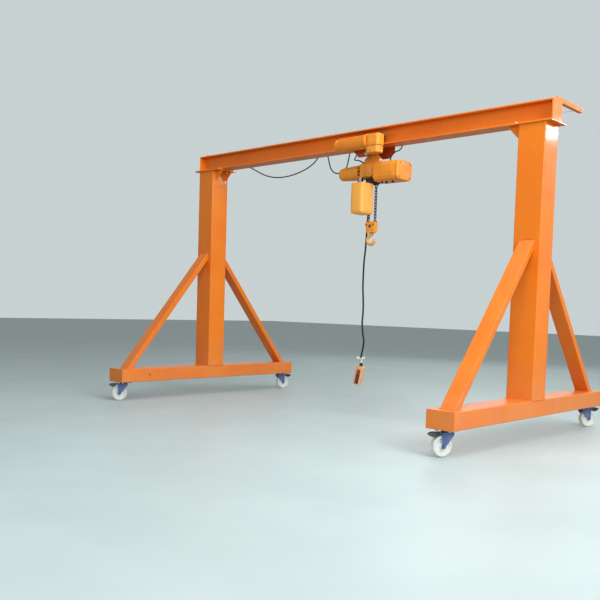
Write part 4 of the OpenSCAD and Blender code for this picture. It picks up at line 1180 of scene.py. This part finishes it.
def studio_floor():
    mesh = bmesh.new()
    bmesh.ops.create_grid(mesh, x_segments=1, y_segments=1, size=FLOOR_HALF)
    data = bpy.data.meshes.new("studio_floor")
    mesh.to_mesh(data)
    mesh.free()
    made = bpy.data.objects.new("studio_floor", data)
    bpy.context.scene.collection.objects.link(made)
    f = Finish("pale_floor")
    tone = f.mixed(f.spread(f.noise(1.1, 4), 0.3, 0.7), (0.49, 0.59, 0.59, 1), (0.53, 0.63, 0.63, 1))
    f.set(base_color=tone, roughness=0.45, specular_ior_level=0.15)
    data.materials.append(f.material)
    return made


def lamp(name, place, aim, size, power, tint=(1, 1, 1)):
    light = bpy.data.lights.new(name, "AREA")
    light.shape = "RECTANGLE"
    light.size, light.size_y = size
    light.energy = power
    light.color = tint
    made = bpy.data.objects.new(name, light)
    bpy.context.scene.collection.objects.link(made)
    made.location = place
    made.rotation_euler = (Vector(aim) - Vector(place)).to_track_quat("-Z", "Y").to_euler()
    made.visible_camera = False
    return made


studio_floor()
lamp("ceiling_light", (2.6, -0.5, 6.5), (1.6, 0, 1), (6, 5), 280)
lamp("window_light", (9.0, -2.5, 5.2), (0.6, 0, 2.3), (4.8, 4.0), 515)
lamp("front_fill", (5.2, -8.0, 3.9), (1.9, 0, 2.8), (4, 3), 250)
lamp("back_fill", (-3.0, 9.0, 5.0), (0, 0, 1.5), (5, 3), 130)
lamp("high_window", (5.6, 7.2, 4.45), (2.25, 0, 2.7), (0.6, 0.24), 38)


def studio_world():
    world = bpy.data.worlds.new("studio")
    bpy.context.scene.world = world
    world.use_nodes = True
    tree = world.node_tree
    tree.nodes.clear()
    ray = tree.nodes.new("ShaderNodeLightPath")
    seen = tree.nodes.new("ShaderNodeMath")
    seen.operation = "MAXIMUM"
    tree.links.new(ray.outputs["Is Camera Ray"], seen.inputs[0])
    glossy = tree.nodes.new("ShaderNodeMath")
    glossy.operation = "MAXIMUM"
    tree.links.new(ray.outputs["Is Glossy Ray"], glossy.inputs[0])
    tree.links.new(ray.outputs["Is Transmission Ray"], glossy.inputs[1])
    tree.links.new(glossy.outputs[0], seen.inputs[1])
    glow, backdrop = (tree.nodes.new("ShaderNodeBackground") for _ in range(2))
    glow.inputs["Color"].default_value = (0.90, 0.94, 0.95, 1)
    glow.inputs["Strength"].default_value = 0.26
    backdrop.inputs["Color"].default_value = (0.58, 0.64, 0.64, 1)
    backdrop.inputs["Strength"].default_value = 1.0
    chosen = tree.nodes.new("ShaderNodeMixShader")
    tree.links.new(seen.outputs[0], chosen.inputs[0])
    tree.links.new(glow.outputs[0], chosen.inputs[1])
    tree.links.new(backdrop.outputs[0], chosen.inputs[2])
    output = tree.nodes.new("ShaderNodeOutputWorld")
    tree.links.new(chosen.outputs[0], output.inputs[0])


studio_world()
bpy.context.scene.view_settings.view_transform = "Standard"
print("studio ready")

# %% [markdown]
# ## Hand the finishes to the CAD pieces that stay
# The festoon wire keeps its CAD mesh: it is a plain rod with nuts.

# %% Assign the finishes
for name, node in nodes.items():
    node.data.materials.clear()
    node.data.materials.append(finish_named(slot_of[name]))
